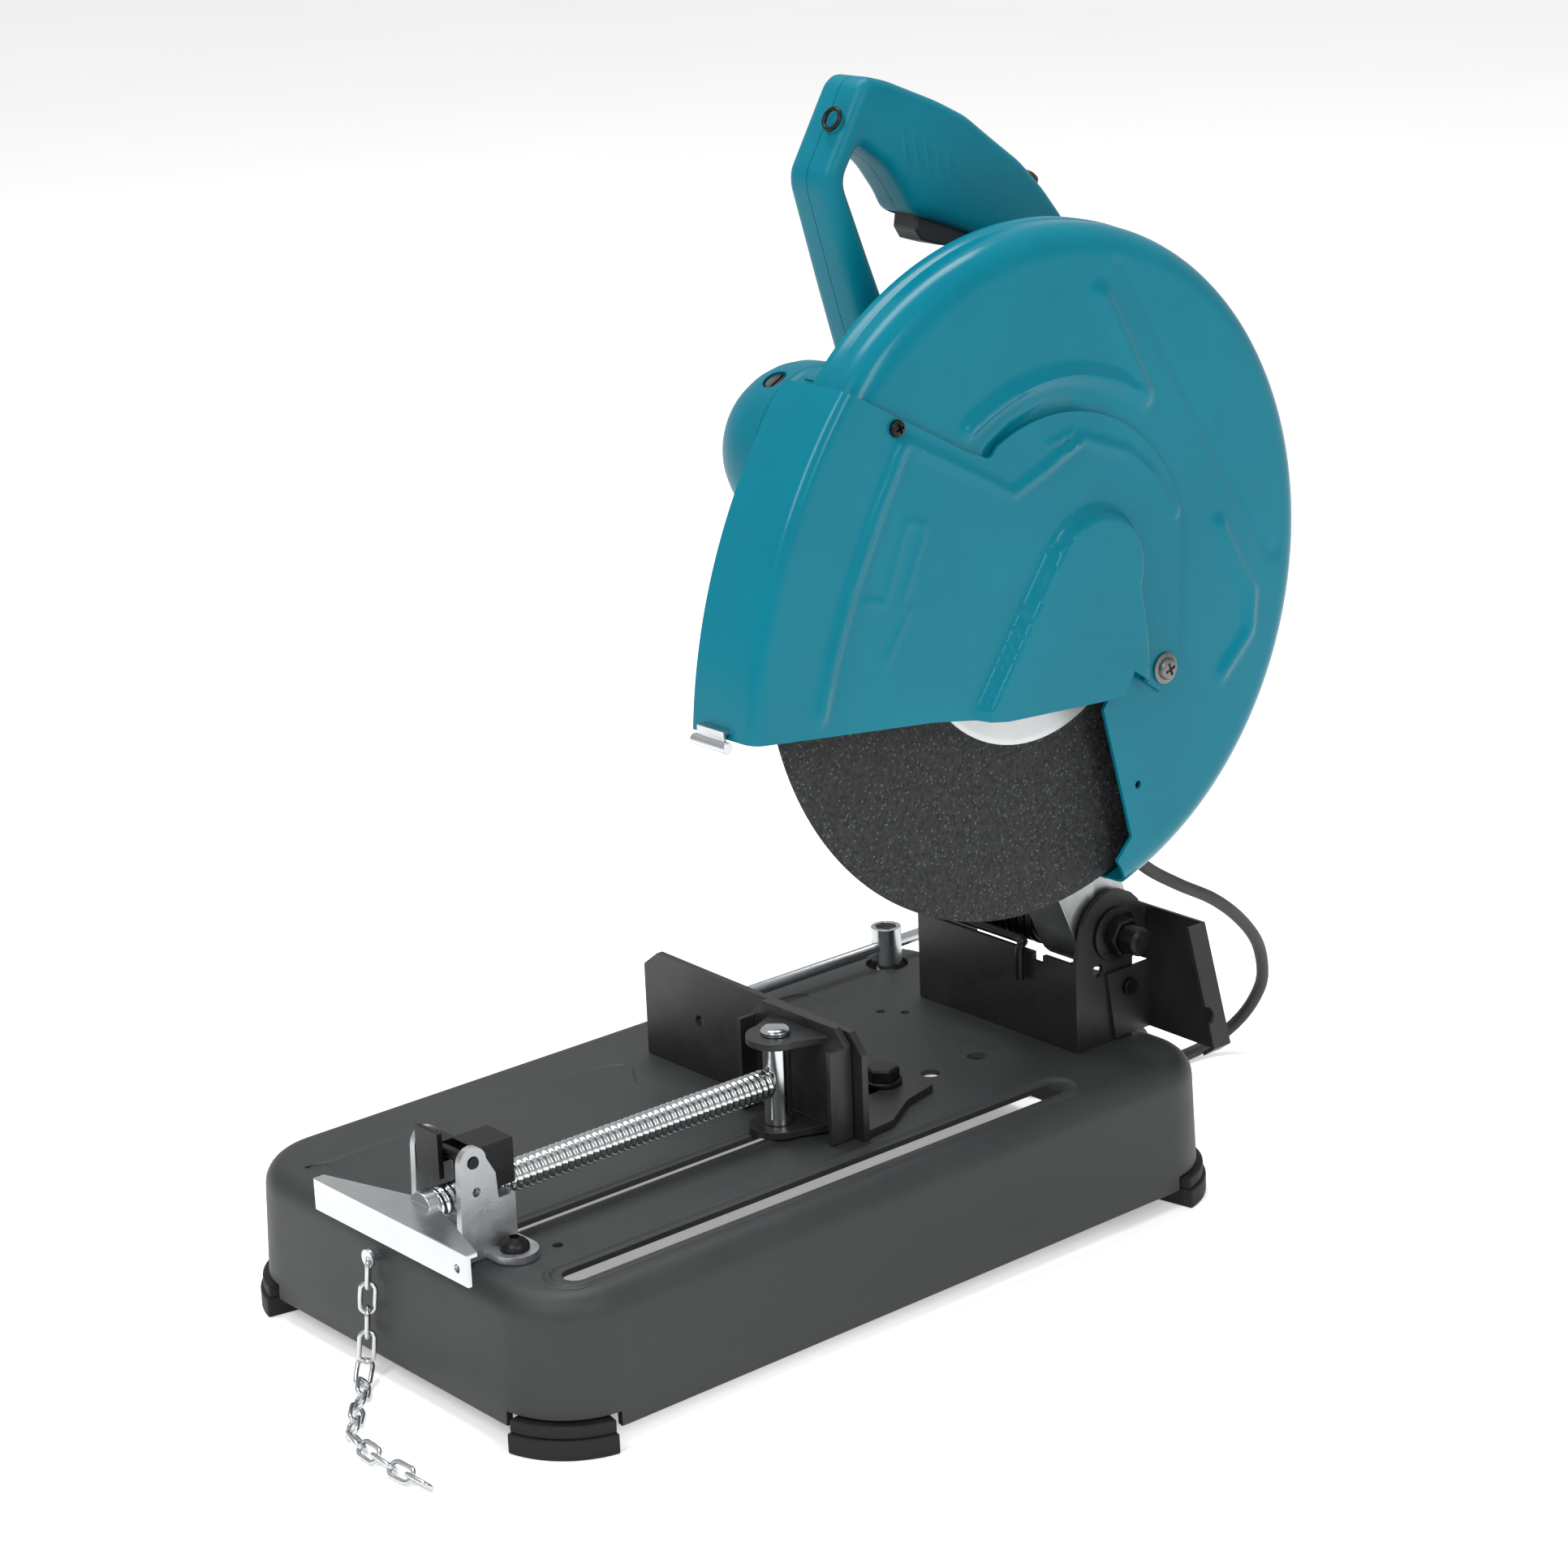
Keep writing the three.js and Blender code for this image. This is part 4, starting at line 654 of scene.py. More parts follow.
# The spring: 11 turns of 4.4 mm wire, coiled hot and oiled black.
spring_sizes = {"Turns": 11.0, "Radius": 0.0163, "Length": 0.0671, "Wire": 0.0022}
tree, given = tree_inputs("coiled_spring", **spring_sizes)
spiral = add_node(tree, "GeometryNodeCurveSpiral", {
    "Resolution": 32, "Rotations": given.outputs["Turns"], "Start Radius": given.outputs["Radius"],
    "End Radius": given.outputs["Radius"], "Height": given.outputs["Length"]})
wire = add_node(tree, "GeometryNodeCurvePrimitiveCircle", {"Resolution": 12, "Radius": given.outputs["Wire"]})
coiled = add_node(tree, "GeometryNodeCurveToMesh", {
    "Curve": spiral.outputs["Curve"], "Profile Curve": wire.outputs["Curve"], "Fill Caps": True})
finish_tree(tree, coiled.outputs["Mesh"], black_oxide)
spring_mesh = grown("coiled_spring", tree, **spring_sizes)
spring_mesh.transform(Matrix.Translation(place((-28, *PIVOT))) @ Matrix.Rotation(pi / 2, 4, "Y"))
put_on("coiled_spring", spring_mesh, "base", black_oxide, ("torsion_spring",), turn=60)
rod_top = 137.2
rod_run = [(-34, 178, rod_top), (0, 178, rod_top), (34, 178, rod_top), (41, 176, rod_top),
           (43, 171.5, rod_top - 0.5), (43, 170.5, rod_top - 6), (43, 170.5, rod_top - 20)]
shaped("spring_stop", tube(smooth_path(rod_run, 3), 2.5, 16), "base", black_oxide,
       ("spring_rod",), turn=60)

# ------------------------------------------------------------------ guide plate
# A black enamelled steel angle is the fence that work is held against; two bolts fix it.
softened("guide_plate", "guide_angle", 0.5, black_enamel, "guide")
guide_seat = table + 0.3 + 4 + 0.4
for node, at in (("guide_bolt_right", (44.6, 64.7)), ("guide_bolt_left", (-80.0, 40.0))):
    stud = rod(0, 20, 5, (*at, table - 12), up, 24)
    head_shape = gather(hexagon_head((*at, guide_seat), up, 9.6, 9.5, washer=2.6), stud)
    shaped(node + "_body", head_shape, "base", black_oxide, (node,), edge=0.3)

# ------------------------------------------------------------------ vise
# A steel jaw on a pin is pushed by a long screw, which a half nut grips in a die-cast bracket.
# The screw, the pin and the pressed handle are zinc-plated and bright.
zinc = surface("bright_zinc", ("BEC1C4", "C9CCCE"), 30, 0.004, 1.5, rough=(0.24, 0.3), metallic=1.0)
chrome = surface("bright_chrome", ("C4C6C8", "CFD1D2"), 20, 0.002, 1.5, rough=(0.12, 0.17), metallic=1.0)
die_cast = surface("die_cast_aluminium", ("A9ABAD", "BEC0C2"), 16, 0.1, 1.4, rough=(0.36, 0.5), metallic=1.0)
softened("vise_plate", "jaw_plate", 0.5, black_enamel, "jaw")
softened("vise_bracket", "vise_casting", 0.9, die_cast, "base", steps=3)
softened("half_nut", "half_nut_block", 0.6, black_oxide, "half_nut_body")
vise_x, vise_z, pin_y = 47.0, 112.0, -11.0
pin_profile = [(0, 0), (0, 5), (4.2, 5), (4.3, 7.5), (49.7, 7.5), (49.8, 5), (54.3, 5), (54.3, 8), (56.4, 8),
               (57.4, 7.2), (58, 5.8), (58, 0)]
shaped("jaw_pin", turned(pin_profile, (vise_x, pin_y, 84), up, 48), "jaw", chrome,
       ("vise_pin",), edge=0.2)
screw_front, screw_back = -234.0, -19.0

# The thread: a rolled 4 mm pitch on the whole length of the bar.
thread_sizes = {"Length": (screw_back - screw_front) / 1000, "Radius": 0.0072, "Depth": 0.0011,
                "Pitch": 0.004}
tree, given = tree_inputs("rolled_thread", **thread_sizes)
blank = add_node(tree, "GeometryNodeMeshCylinder", {"Vertices": 32, "Side Segments": 430,
                                                    "Radius": given.outputs["Radius"],
                                                    "Depth": given.outputs["Length"]})
spot = add_node(tree, "GeometryNodeInputPosition")
parts = add_node(tree, "ShaderNodeSeparateXYZ", {0: spot.outputs["Position"]})
round_turn = maths(tree, "ARCTAN2", parts.outputs["Y"], parts.outputs["X"])
part_turn = maths(tree, "DIVIDE", round_turn, 2 * pi)
pitches = maths(tree, "DIVIDE", parts.outputs["Z"], given.outputs["Pitch"])
phase = maths(tree, "SUBTRACT", pitches, part_turn)
saw_tooth = maths(tree, "PINGPONG", phase, 0.5)
ridge = maths(tree, "MULTIPLY", saw_tooth, 2.0)
height = maths(tree, "MULTIPLY", ridge, given.outputs["Depth"])
outwards = add_node(tree, "ShaderNodeVectorMath", {0: spot.outputs["Position"], 1: (1.0, 1.0, 0.0)},
                    operation="MULTIPLY")
away = add_node(tree, "ShaderNodeVectorMath", {0: outwards.outputs["Vector"]}, operation="NORMALIZE")
lift = add_node(tree, "ShaderNodeVectorMath", {0: away.outputs["Vector"]}, operation="SCALE")
tree.links.new(height, lift.inputs["Scale"])
threaded = add_node(tree, "GeometryNodeSetPosition", {"Geometry": blank.outputs["Mesh"],
                                                      "Offset": lift.outputs["Vector"]})
finish_tree(tree, threaded.outputs["Geometry"], chrome)
thread_mesh = grown("rolled_thread", tree, **thread_sizes)
middle = place((vise_x, (screw_front + screw_back) / 2, vise_z))
thread_mesh.transform(Matrix.Translation(middle) @ Matrix.Rotation(pi / 2, 4, "X"))
put_on("vise_thread", thread_mesh, "crank", chrome, ("vise_screw",), turn=80)
softened("vise_handle", "crank_plate", 0.5, zinc, "crank")
for node, x in (("vise_bracket_bolt_right", vise_x + 25), ("vise_bracket_bolt_left", vise_x - 33)):
    dome = [(-20, 0), (-20, 4), (0, 4), (0, 7.5), (1.6, 7.5), (2.6, 7.1), (4.2, 5.6), (5.6, 3.2)]
    dome += [(6, 2.7), (3.6, 2.5), (3.6, 0)]
    shaped(node + "_body", turned(dome, (x, -204, table + 4.6), up, 36), "base",
           black_oxide, (node,), turn=35)

# ------------------------------------------------------------------ socket wrench
# A zinc-plated socket, pressed on the end of a round bar, is kept in a hole in the table.
softened("socket_wrench", "wrench_body", 0.5, zinc, "wrench")

# ------------------------------------------------------------------ lock chain
# A twisted-link chain of 2.6 mm zinc-plated wire hangs from a screw and holds the head down
# for carrying: its last link goes over the hook on the cover.
softened("chain_screw", "chain_screw_body", 0.3, zinc, "base")
chain_route = [(-5.5, -240.5, 60), (-7, -241.5, 40), (-9, -242, 22), (-8.5, -244.5, 10), (-3, -250, 5.4),
               (8, -258, 4.6), (26, -274, 4.6), (46, -289, 4.6), (76, -293, 4.6), (105, -292, 4.6)]
chain_curve = bpy.data.curves.new("chain_line", "CURVE")
chain_curve.dimensions = "3D"
chain_line = smooth_path(chain_route, 3)
spline = chain_curve.splines.new("POLY")
spline.points.add(len(chain_line) - 1)
for point, at in zip(spline.points, chain_line):
    point.co = (*place(at), 1)
chain_holder = linked("chain_line", chain_curve)
chain_sizes = {"Pitch": 0.014, "Wire": 0.0013, "Half width": 0.0039, "Half length": 0.0044}
tree, given = tree_inputs("link_chain", **chain_sizes)
line = add_node(tree, "GeometryNodeObjectInfo", {"Object": chain_holder})
stations = add_node(tree, "GeometryNodeCurveToPoints", {
    "Curve": line.outputs["Geometry"], "Length": given.outputs["Pitch"]}, mode="LENGTH")
oval = add_node(tree, "GeometryNodeCurvePrimitiveCircle", {"Resolution": 20,
                                                           "Radius": given.outputs["Half width"]})
link_spot = add_node(tree, "GeometryNodeInputPosition")
link_parts = add_node(tree, "ShaderNodeSeparateXYZ", {0: link_spot.outputs["Position"]})
way = maths(tree, "SIGN", link_parts.outputs["Y"])
reach = maths(tree, "MULTIPLY", way, given.outputs["Half length"])
pull = add_node(tree, "ShaderNodeCombineXYZ", {"Y": reach})
long_oval = add_node(tree, "GeometryNodeSetPosition", {"Geometry": oval.outputs["Curve"],
                                                       "Offset": pull.outputs["Vector"]})
link_wire = add_node(tree, "GeometryNodeCurvePrimitiveCircle", {"Resolution": 8,
                                                                "Radius": given.outputs["Wire"]})
link = add_node(tree, "GeometryNodeCurveToMesh", {"Curve": long_oval.outputs["Geometry"],
                                                  "Profile Curve": link_wire.outputs["Curve"]})
flow = add_node(tree, "FunctionNodeAlignRotationToVector", {"Vector": stations.outputs["Tangent"]}, axis="Y")
number = add_node(tree, "GeometryNodeInputIndex")
quarter_turns = maths(tree, "MULTIPLY_ADD", number.outputs["Index"], pi / 2, pi / 4)
twist = add_node(tree, "ShaderNodeCombineXYZ", {"Y": quarter_turns})
twisted = add_node(tree, "FunctionNodeRotateRotation", {"Rotation": flow.outputs["Rotation"]},
                   rotation_space="LOCAL")
tree.links.new(twist.outputs["Vector"], twisted.inputs["Rotate By"])
links_made = add_node(tree, "GeometryNodeInstanceOnPoints", {"Points": stations.outputs["Points"],
                                                             "Instance": link.outputs["Mesh"],
                                                             "Rotation": twisted.outputs["Rotation"]})
finish_tree(tree, links_made.outputs["Instances"], zinc)
chain_mesh = grown("link_chain", tree, **chain_sizes)
bpy.data.objects.remove(chain_holder)
put_on("link_chain", chain_mesh, "base", zinc, ("lock_chain",), turn=60)

# ------------------------------------------------------------------ arm and gear case
# One aluminium casting holds the motor, the gears and the wheel's spindle, and turns on the
# pivot bolt. Its faces are sand-blasted; the lid over the gears is the same metal.
softened("arm", "arm_casting", 1.0, die_cast, "head", turn=45)
softened("gear_cover", "gear_lid", 0.8, die_cast, "head", turn=45)

# ------------------------------------------------------------------ motor
# A glass-filled nylon casing, in the maker's teal, round a universal motor. The end cover is
# held by screws, breathes through slots and has a screwed cap over each carbon brush.
teal_nylon = surface("teal_nylon", ("006678", "006E80"), 50, 0.05, 0.8, rough=(0.36, 0.46), gloss=0.14)
black_nylon = surface("black_nylon", ("18191A", "222324"), 20, 0.08, 0.8, rough=(0.45, 0.6))
motor = (158.0, 399.0)
casing = [(-95, 46), (-95, 50), (-92, 50), (-91, 49.2), (-89, 49.2), (-88, 50), (45.7, 50), (45.7, 46),
          (-95, 46)]
shaped("motor_casing", turned(casing, (0, *motor), along_x, 96), "head", teal_nylon,
       ("motor_housing",), turn=40)
cap_outline = [(0, 46), (0, 50), (-8, 50), (-17, 49.4), (-25, 47.4), (-32, 44.2), (-39, 39.6), (-45, 34.4),
               (-49, 30), (-50.7, 26), (-50.7, 0), (-46, 0), (-46, 23), (-43, 28), (-36, 34.4), (-25, 42.6),
               (-8, 46), (0, 46)]


def spoke(angle):
    """The direction at an angle round an axis along x."""
    return Vector((0, cos(angle), sin(angle)))


end_cap = loose("end_cap", *turned([(x, r) for x, r in cap_outline], (-95.3, *motor), along_x, 96))
brush_angle = radians(118)
brush_x = -106.0
for side in (1, -1):
    out = spoke(brush_angle) * side
    start = Vector((brush_x, *motor)) + out * 15
    cut(end_cap, rod(0, 45, 7.3, start, out, 32))
slot_count = 14
for k in range(slot_count):
    angle = 2 * pi * (k + 0.5) / slot_count
    out = spoke(angle)
    along_ring = Vector((0, -sin(angle), cos(angle)))
    centre = Vector((-146, *motor))
    vent = [centre + out * r + along_ring * s + Vector((d, 0, 0))
            for d in (-6, 12) for r, s in ((10, -1.3), (21, -1.8), (21, 1.8), (10, 1.3))]
    cut(end_cap, block(vent))
put_on("motor_cap", taken(end_cap), "head", teal_nylon, ("motor_end_cover",), turn=40)
for node, side in (("brush_upper", 1), ("brush_lower", -1)):
    out = spoke(brush_angle) * side
    cap_profile = [(13.5, 0), (13.5, 4), (40, 4), (40, 7), (47, 7), (48, 6.2), (47.4, 5.2), (47.4, 0)]
    cap_shape = turned(cap_profile, (brush_x, *motor), out, 36)
    brush_cap = loose("brush_cap", *cap_shape)
    groove_at = Vector((brush_x, *motor)) + out * 47.5
    across_cap = out.cross(Vector((1, 0, 0)))
    coin = [groove_at + out * d + Vector((w, 0, 0)) + across_cap * s
            for d in (-1.6, 2) for w, s in ((-0.9, -6.5), (0.9, -6.5), (0.9, 6.5), (-0.9, 6.5))]
    cut(brush_cap, block(coin))
    put_on(node + "_cap", taken(brush_cap), "head", black_nylon, (node,), turn=35)

# Sixteen short ribs stiffen the casing and repeat round it.
rib_sizes = {"Count": 16, "Ring": 0.0500, "Length": 0.044, "Width": 0.0026}
tree, given = tree_inputs("casing_ribs", **rib_sizes)
circle = add_node(tree, "GeometryNodeMeshCircle", {"Vertices": given.outputs["Count"],
                                                   "Radius": given.outputs["Ring"]})
rib_spot = add_node(tree, "GeometryNodeInputPosition")
rib_size = add_node(tree, "ShaderNodeCombineXYZ", {"X": given.outputs["Width"], "Y": given.outputs["Width"],
                                                   "Z": given.outputs["Length"]})
rib = add_node(tree, "GeometryNodeMeshCube", {"Size": rib_size.outputs["Vector"]})
face_out = add_node(tree, "FunctionNodeAlignRotationToVector", {"Vector": rib_spot.outputs["Position"]},
                    axis="X")
ribs_made = add_node(tree, "GeometryNodeInstanceOnPoints", {"Points": circle.outputs["Mesh"],
                                                            "Instance": rib.outputs["Mesh"],
                                                            "Rotation": face_out.outputs["Rotation"]})
finish_tree(tree, ribs_made.outputs["Instances"], teal_nylon)
rib_mesh = grown("casing_ribs", tree, **rib_sizes)
rib_mesh.transform(Matrix.Translation(place((-62, *motor))) @ Matrix.Rotation(pi / 2, 4, "Y"))
ribs = put_on("casing_ribs", rib_mesh, "head", teal_nylon, edge=0.5)

# ------------------------------------------------------------------ inside the head
# Laminated steel core, wound armature, fan, gears and bearings: hidden, but all present.
core_steel = surface("laminated_steel", ("6E6A66", "8A8580"), 3, 0.05, 0.6, rough=(0.4, 0.55), metallic=1.0)
ground_steel = surface("ground_steel", ("A8AAAC", "C2C4C6"), 5, 0.01, 0.6, rough=(0.22, 0.34), metallic=1.0)
inside_finishes = {"stator": core_steel, "armature": core_steel, "cooling_fan": black_nylon,
                   "switch_block": black_nylon}
for node in ("spindle_bearing_left", "spindle_bearing_right", "armature_bearing_front",
             "armature_bearing_rear", "drive_gear", "spindle"):
    inside_finishes[node] = ground_steel
for node, material in inside_finishes.items():
    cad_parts[node].material_slots[0].material = material

# ------------------------------------------------------------------ cutting wheel
# A 355 mm abrasive wheel: aluminium oxide grit in black resin, pressed on glass mesh. A foil
# label covers the middle; two steel flanges and one bolt hold the wheel on the spindle.
grit = surface("resin_grit", ("0D0E0F", "3C3D3E"), 2.2, 0.6, 1.6, rough=(0.7, 0.95),
               specks=("56595B", 1.6, 0.1), gloss=0.3)
foil = surface("label_foil", ("C9CBCD", "DADCDD"), 40, 0.01, 2.0, rough=(0.3, 0.42), metallic=0.35)
wheel = (118.0, 365.6)
wheel_radius, wheel_half, bore = 177.5, 1.5, 12.7
rim = [(-wheel_half, bore)]
rim += [(-wheel_half, bore + (wheel_radius - 0.6 - bore) * k / 24) for k in range(1, 25)]
rim += [(-wheel_half + 0.5, wheel_radius), (wheel_half - 0.5, wheel_radius)]
rim += [(wheel_half, bore + (wheel_radius - 0.6 - bore) * k / 24) for k in range(24, -1, -1)]
rim += [(-wheel_half, bore)]
shaped("abrasive_disc", turned(rim, (wheel_x, *wheel), along_x, 160), "cutting_head",
       grit, ("cutting_wheel",), turn=50)
label = [(0, 33), (0, 83), (0.12, 83), (0.12, 82), (0.16, 81.8), (0.16, 79.4), (0.12, 79.2), (0.12, 33),
         (0, 33)]
shaped("wheel_label", turned(label, (wheel_x + wheel_half, *wheel), along_x, 96),
                     "cutting_head", foil, turn=50)
inner = [(104.5, 12.7), (104.5, 28), (106.2, 32), (108.2, 32), (108.2, 12.7), (104.5, 12.7)]
outer = [(111.8, 5.3), (111.8, 32), (114, 32), (116.5, 27), (116.5, 5.3), (111.8, 5.3)]
shaped("flange_inside", turned(inner, (0, *wheel), along_x, 80), "cutting_head",
       ground_steel, ("inner_flange",), turn=30)
shaped("flange_outside", turned(outer, (0, *wheel), along_x, 80), "cutting_head",
       ground_steel, ("outer_flange",), turn=30)
bolt_seat = wheel_x + wheel_half + 5.3
wheel_stud = rod(0, 26, 5, (bolt_seat - 25.3, *wheel), along_x, 24)
wheel_bolt_shape = gather(hexagon_head((bolt_seat, *wheel), along_x, 10, 10, washer=2), wheel_stud)
shaped("wheel_bolt_body", wheel_bolt_shape, "cutting_head", ground_steel,
       ("wheel_bolt",), edge=0.3)

# ------------------------------------------------------------------ upper guard
# Pressed 2 mm steel round the back of the wheel: a rolled band with a flat lip, a wide soft
# shoulder and a side face stiffened by pressed beads. It is stoved in gloss teal enamel.
teal_enamel = surface("teal_enamel", ("006779", "006F82"), 120, 0.012, 3.5, rough=(0.2, 0.25), coat=0.06,
                      gloss=0.14)
guard = (121.0, 369.0)
guard_radius, guard_inner, guard_outer = 185.0, 102.0, 131.0


def near_line(y, z, line):
    """Distance in mm from a point of the side face to a line of points."""
    best = 1e9
    for (ay, az), (by, bz) in zip(line, line[1:]):
        dy, dz = by - ay, bz - az
        t = max(0.0, min(1.0, ((y - ay) * dy + (z - az) * dz) / (dy * dy + dz * dz)))
        best = min(best, hypot(y - ay - t * dy, z - az - t * dz))
    return best


def inside(y, z, outline):
    """Whether a point is inside a closed outline."""
    hit = False
    for (ay, az), (by, bz) in zip(outline, outline[1:] + outline[:1]):
        if (az > z) != (bz > z) and y < (by - ay) * (z - az) / (bz - az) + ay:
            hit = not hit
    return hit


def step_up(distance, slope):
    """0 on one side of a pressed step and 1 on the other, with a soft slope between."""
    t = max(0.0, min(1.0, distance / slope + 0.5))
    return t * t * (3 - 2 * t)


def arc(centre, radius, first, end, count):
    """Points along an arc between two angles in degrees."""
    points = []
    for k in range(count + 1):
        angle = radians(first + (end - first) * k / count)
        points.append((centre[0] + radius * cos(angle), centre[1] + radius * sin(angle)))
    return points


guard_beads = [
    (arc(wheel, 112, 122, 54, 16) + [(184, 458), (168, 490), (153, 516)], 6.5, 3.4),
    ([(166, 530), (200, 476), (240, 413), (275, 359), (284, 356)], 3.6, -1.4),
    ([(239, 379), (252, 356), (264, 337), (262, 316), (240, 296)], 6, 2.6),
    ([(73, 447), (90, 457), (112, 463), (132, 461)], 6, -1.8),
]


def bead_lift(y, z, beads):
    """How far the beads near a point of the side face stand out of it, in mm."""
    lift = 0.0
    for line, width, height in beads:
        distance = near_line(y, z, line)
        if distance < width:
            lift += height * 0.5 * (1 + cos(pi * distance / width))
    return lift


shoulder, sheet = 15.0, 2.0
profile = [(guard_inner, guard_radius), (guard_inner + 7, guard_radius),
           (guard_inner + 8, guard_radius - 0.7), (guard_inner + 9, guard_radius - 0.8),
           (guard_outer - shoulder, guard_radius - 0.8)]
for k in range(1, 9):
    angle = radians(90 * k / 8)
    profile.append((guard_outer - shoulder + shoulder * sin(angle),
                    guard_radius - 0.8 - shoulder + shoulder * cos(angle)))
face_rings = 70
face_radius = profile[-1][1]
profile += [(guard_outer, face_radius * (1 - k / face_rings)) for k in range(1, face_rings)]
guard_sides = 240
guard_points, guard_faces = turned(profile, (0, *guard), along_x, guard_sides)
lifted = []
for point in guard_points:
    if point.x > guard_outer - 0.5:
        point = Vector((point.x + bead_lift(point.y, point.z, guard_beads), point.y, point.z))
    lifted.append(point)
hub_ring = len(profile) - 1
guard_faces.append(tuple(hub_ring * guard_sides + k for k in range(guard_sides)))


def shell(name, points, faces, thickness):
    """A pressed sheet: the outer skin thickened away from its outer side."""
    mesh = bpy.data.meshes.new(name)
    mesh.from_pydata([place(p) for p in points], [], faces)
    shape = bmesh.new()
    shape.from_mesh(mesh)
    bmesh.ops.remove_doubles(shape, verts=shape.verts, dist=1e-6)
    bmesh.ops.recalc_face_normals(shape, faces=shape.faces)
    middle_face = max(shape.faces, key=lambda f: f.calc_center_median().x)
    if middle_face.normal.x < 0:
        bmesh.ops.reverse_faces(shape, faces=shape.faces)
    shape.to_mesh(mesh)
    shape.free()
    made = linked(name, mesh)
    sheet_step = made.modifiers.new("thickness", "SOLIDIFY")
    sheet_step.thickness = thickness / 1000
    sheet_step.offset = -1
    graph = bpy.context.evaluated_depsgraph_get()
    solid = bpy.data.meshes.new_from_object(made.evaluated_get(graph))
    made.modifiers.clear()
    made.data = solid
    return made


guard_shell = shell("guard_shell", lifted, guard_faces, sheet)
opening = [(-140, 90), (172, 90), (178, 186), (166, 200), (160, 210), (171, 221), (166, 240), (158, 270),
           (151, 296), (172, 322)]
opening += arc(wheel, 78, -25, 128, 24) + [(-34, 480), (-140, 480)]
cut(guard_shell, slab(opening, guard_inner - 5, guard_outer + 12, "x"))
cut(guard_shell, rod(-10, 10, 2.2, (guard_outer, 176, 249), along_x, 20))
spindle_hole, back_radius = 14.7, guard_radius - 0.4
back_wall = [(guard_inner, spindle_hole), (guard_inner, back_radius), (guard_inner + sheet, back_radius),
             (guard_inner + sheet, spindle_hole), (guard_inner, spindle_hole)]
back = loose("guard_back", *turned(back_wall, (0, *guard), along_x, guard_sides))
back_cut = [(-140, 90), (172, 90), (166, 200), (159, 211), (150, 240), (110, 285), (20, 310), (-34, 400),
            (-140, 400)]
cut(back, slab(back_cut, guard_inner - 5, guard_inner + 8, "x"))
put_on("guard_pressing", merged("guard_pressing", taken(guard_shell), taken(back)), "head", teal_enamel,
       ("upper_guard",), turn=42)

# ------------------------------------------------------------------ centre cover
# A second pressing closes the guard's middle and the front of the wheel. It turns up about one
# screw for wheel changes; a small screw locks it. Its beads are an arrow, a long bead behind the
# front edge and a hollow boss over the spindle.
cover_face, band_radius, band_left = 131.4, 284.0, 88.0
cover_out = cover_face + sheet
screw_y, screw_z = cover_pivot = (194.0, 310.0)
boss_shape = [(58, 290), (60, 318), (96, 368), (112, 390)]
boss_shape += arc((142, 372), 33, 140, -20, 14) + [(178, 330), (180, 290)]
arrow = [(14.7, 423.2), (-1.9, 384.9), (-14.6, 388.8), (-3.2, 353.7), (14, 378), (9, 381), (27, 419.1)]
cover_beads = [
    (arrow + arrow[:1], 2.6, 0.9),
    ([(13, 462), (-6, 430), (-24, 396), (-38, 362), (-46, 337)], 6, 2.6),
    ([(18, 461), (52, 443), (86, 424), (110, 433), (135, 444), (168, 431), (185, 417), (203, 393)], 4.5, 2.0),
    ([(112, 444.5), (129, 448.2)], 2.6, 1.1),
    ([(116, 438.7), (133.7, 441.9)], 2.6, 1.1),
]


def cover_relief(y, z):
    """The cover's beads and its boss, and a flat place round its screw."""
    lift = bead_lift(y, z, cover_beads)
    depth = near_line(y, z, boss_shape + boss_shape[:1])
    signed = depth if inside(y, z, boss_shape) else -depth
    if signed > -6:
        lift += 7.0 * step_up(signed, 6)
    pocket = hypot(y - screw_y, z - screw_z)
    return lift * step_up(pocket - 15, 6)


edge_round = 7.0
cover_profile = [(band_left, band_radius), (cover_out - edge_round, band_radius)]
for k in range(1, 7):
    angle = radians(90 * k / 6)
    cover_profile.append((cover_out - edge_round + edge_round * sin(angle),
                          band_radius - edge_round + edge_round * cos(angle)))
cover_rings = 130
flat_radius = band_radius - edge_round
cover_profile += [(cover_out, flat_radius * (1 - k / cover_rings)) for k in range(1, cover_rings + 1)]
cover_points, cover_faces = [], []
sweep_first, sweep_end, sweep_steps = 20.0, 260.0, 400
for x, radius in cover_profile:
    for k in range(sweep_steps + 1):
        angle = radians(sweep_first + (sweep_end - sweep_first) * k / sweep_steps)
        y, z = screw_y + radius * cos(angle), screw_z + radius * sin(angle)
        raised = cover_relief(y, z) if x > cover_out - 0.4 else 0.0
        cover_points.append((x + raised, y, z))
row = sweep_steps + 1
for i in range(len(cover_profile) - 1):
    cover_faces += [(i * row + k, i * row + k + 1, (i + 1) * row + k + 1, (i + 1) * row + k)
                    for k in range(sweep_steps)]
cover_shell = shell("cover_shell", cover_points, cover_faces, sheet)
front_first, front_end = 175.6, 138.7
cover_outline = arc(cover_pivot, band_radius + 4, front_first, front_end, 20)
cover_outline += [(-22, 494), (56, 451), (63, 448), (70, 445), (73, 446)]
cover_outline += arc(wheel, 94, 116, 18, 26) + arc(cover_pivot, 13, 30, -100, 12)
cover_outline += [(165, 316), (160, 308), (156, 303.5), (140, 304.6), (74, 309), (28, 317.5)]
cut(cover_shell, slab(cover_outline, band_left - 5, cover_out + 20, "x"), "INTERSECT")
for (y, z), size in ((cover_pivot, 4.3), ((9, 471), 2.8)):
    hole = rod(-10, 25, size, (cover_face, y, z), along_x, 24)
    cut(cover_shell, hole)
put_on("cover_pressing", taken(cover_shell), "cover", teal_enamel, ("centre_cover",), turn=42)
softened("cover_hook", "cover_hook_plate", 0.4, zinc, "cover")


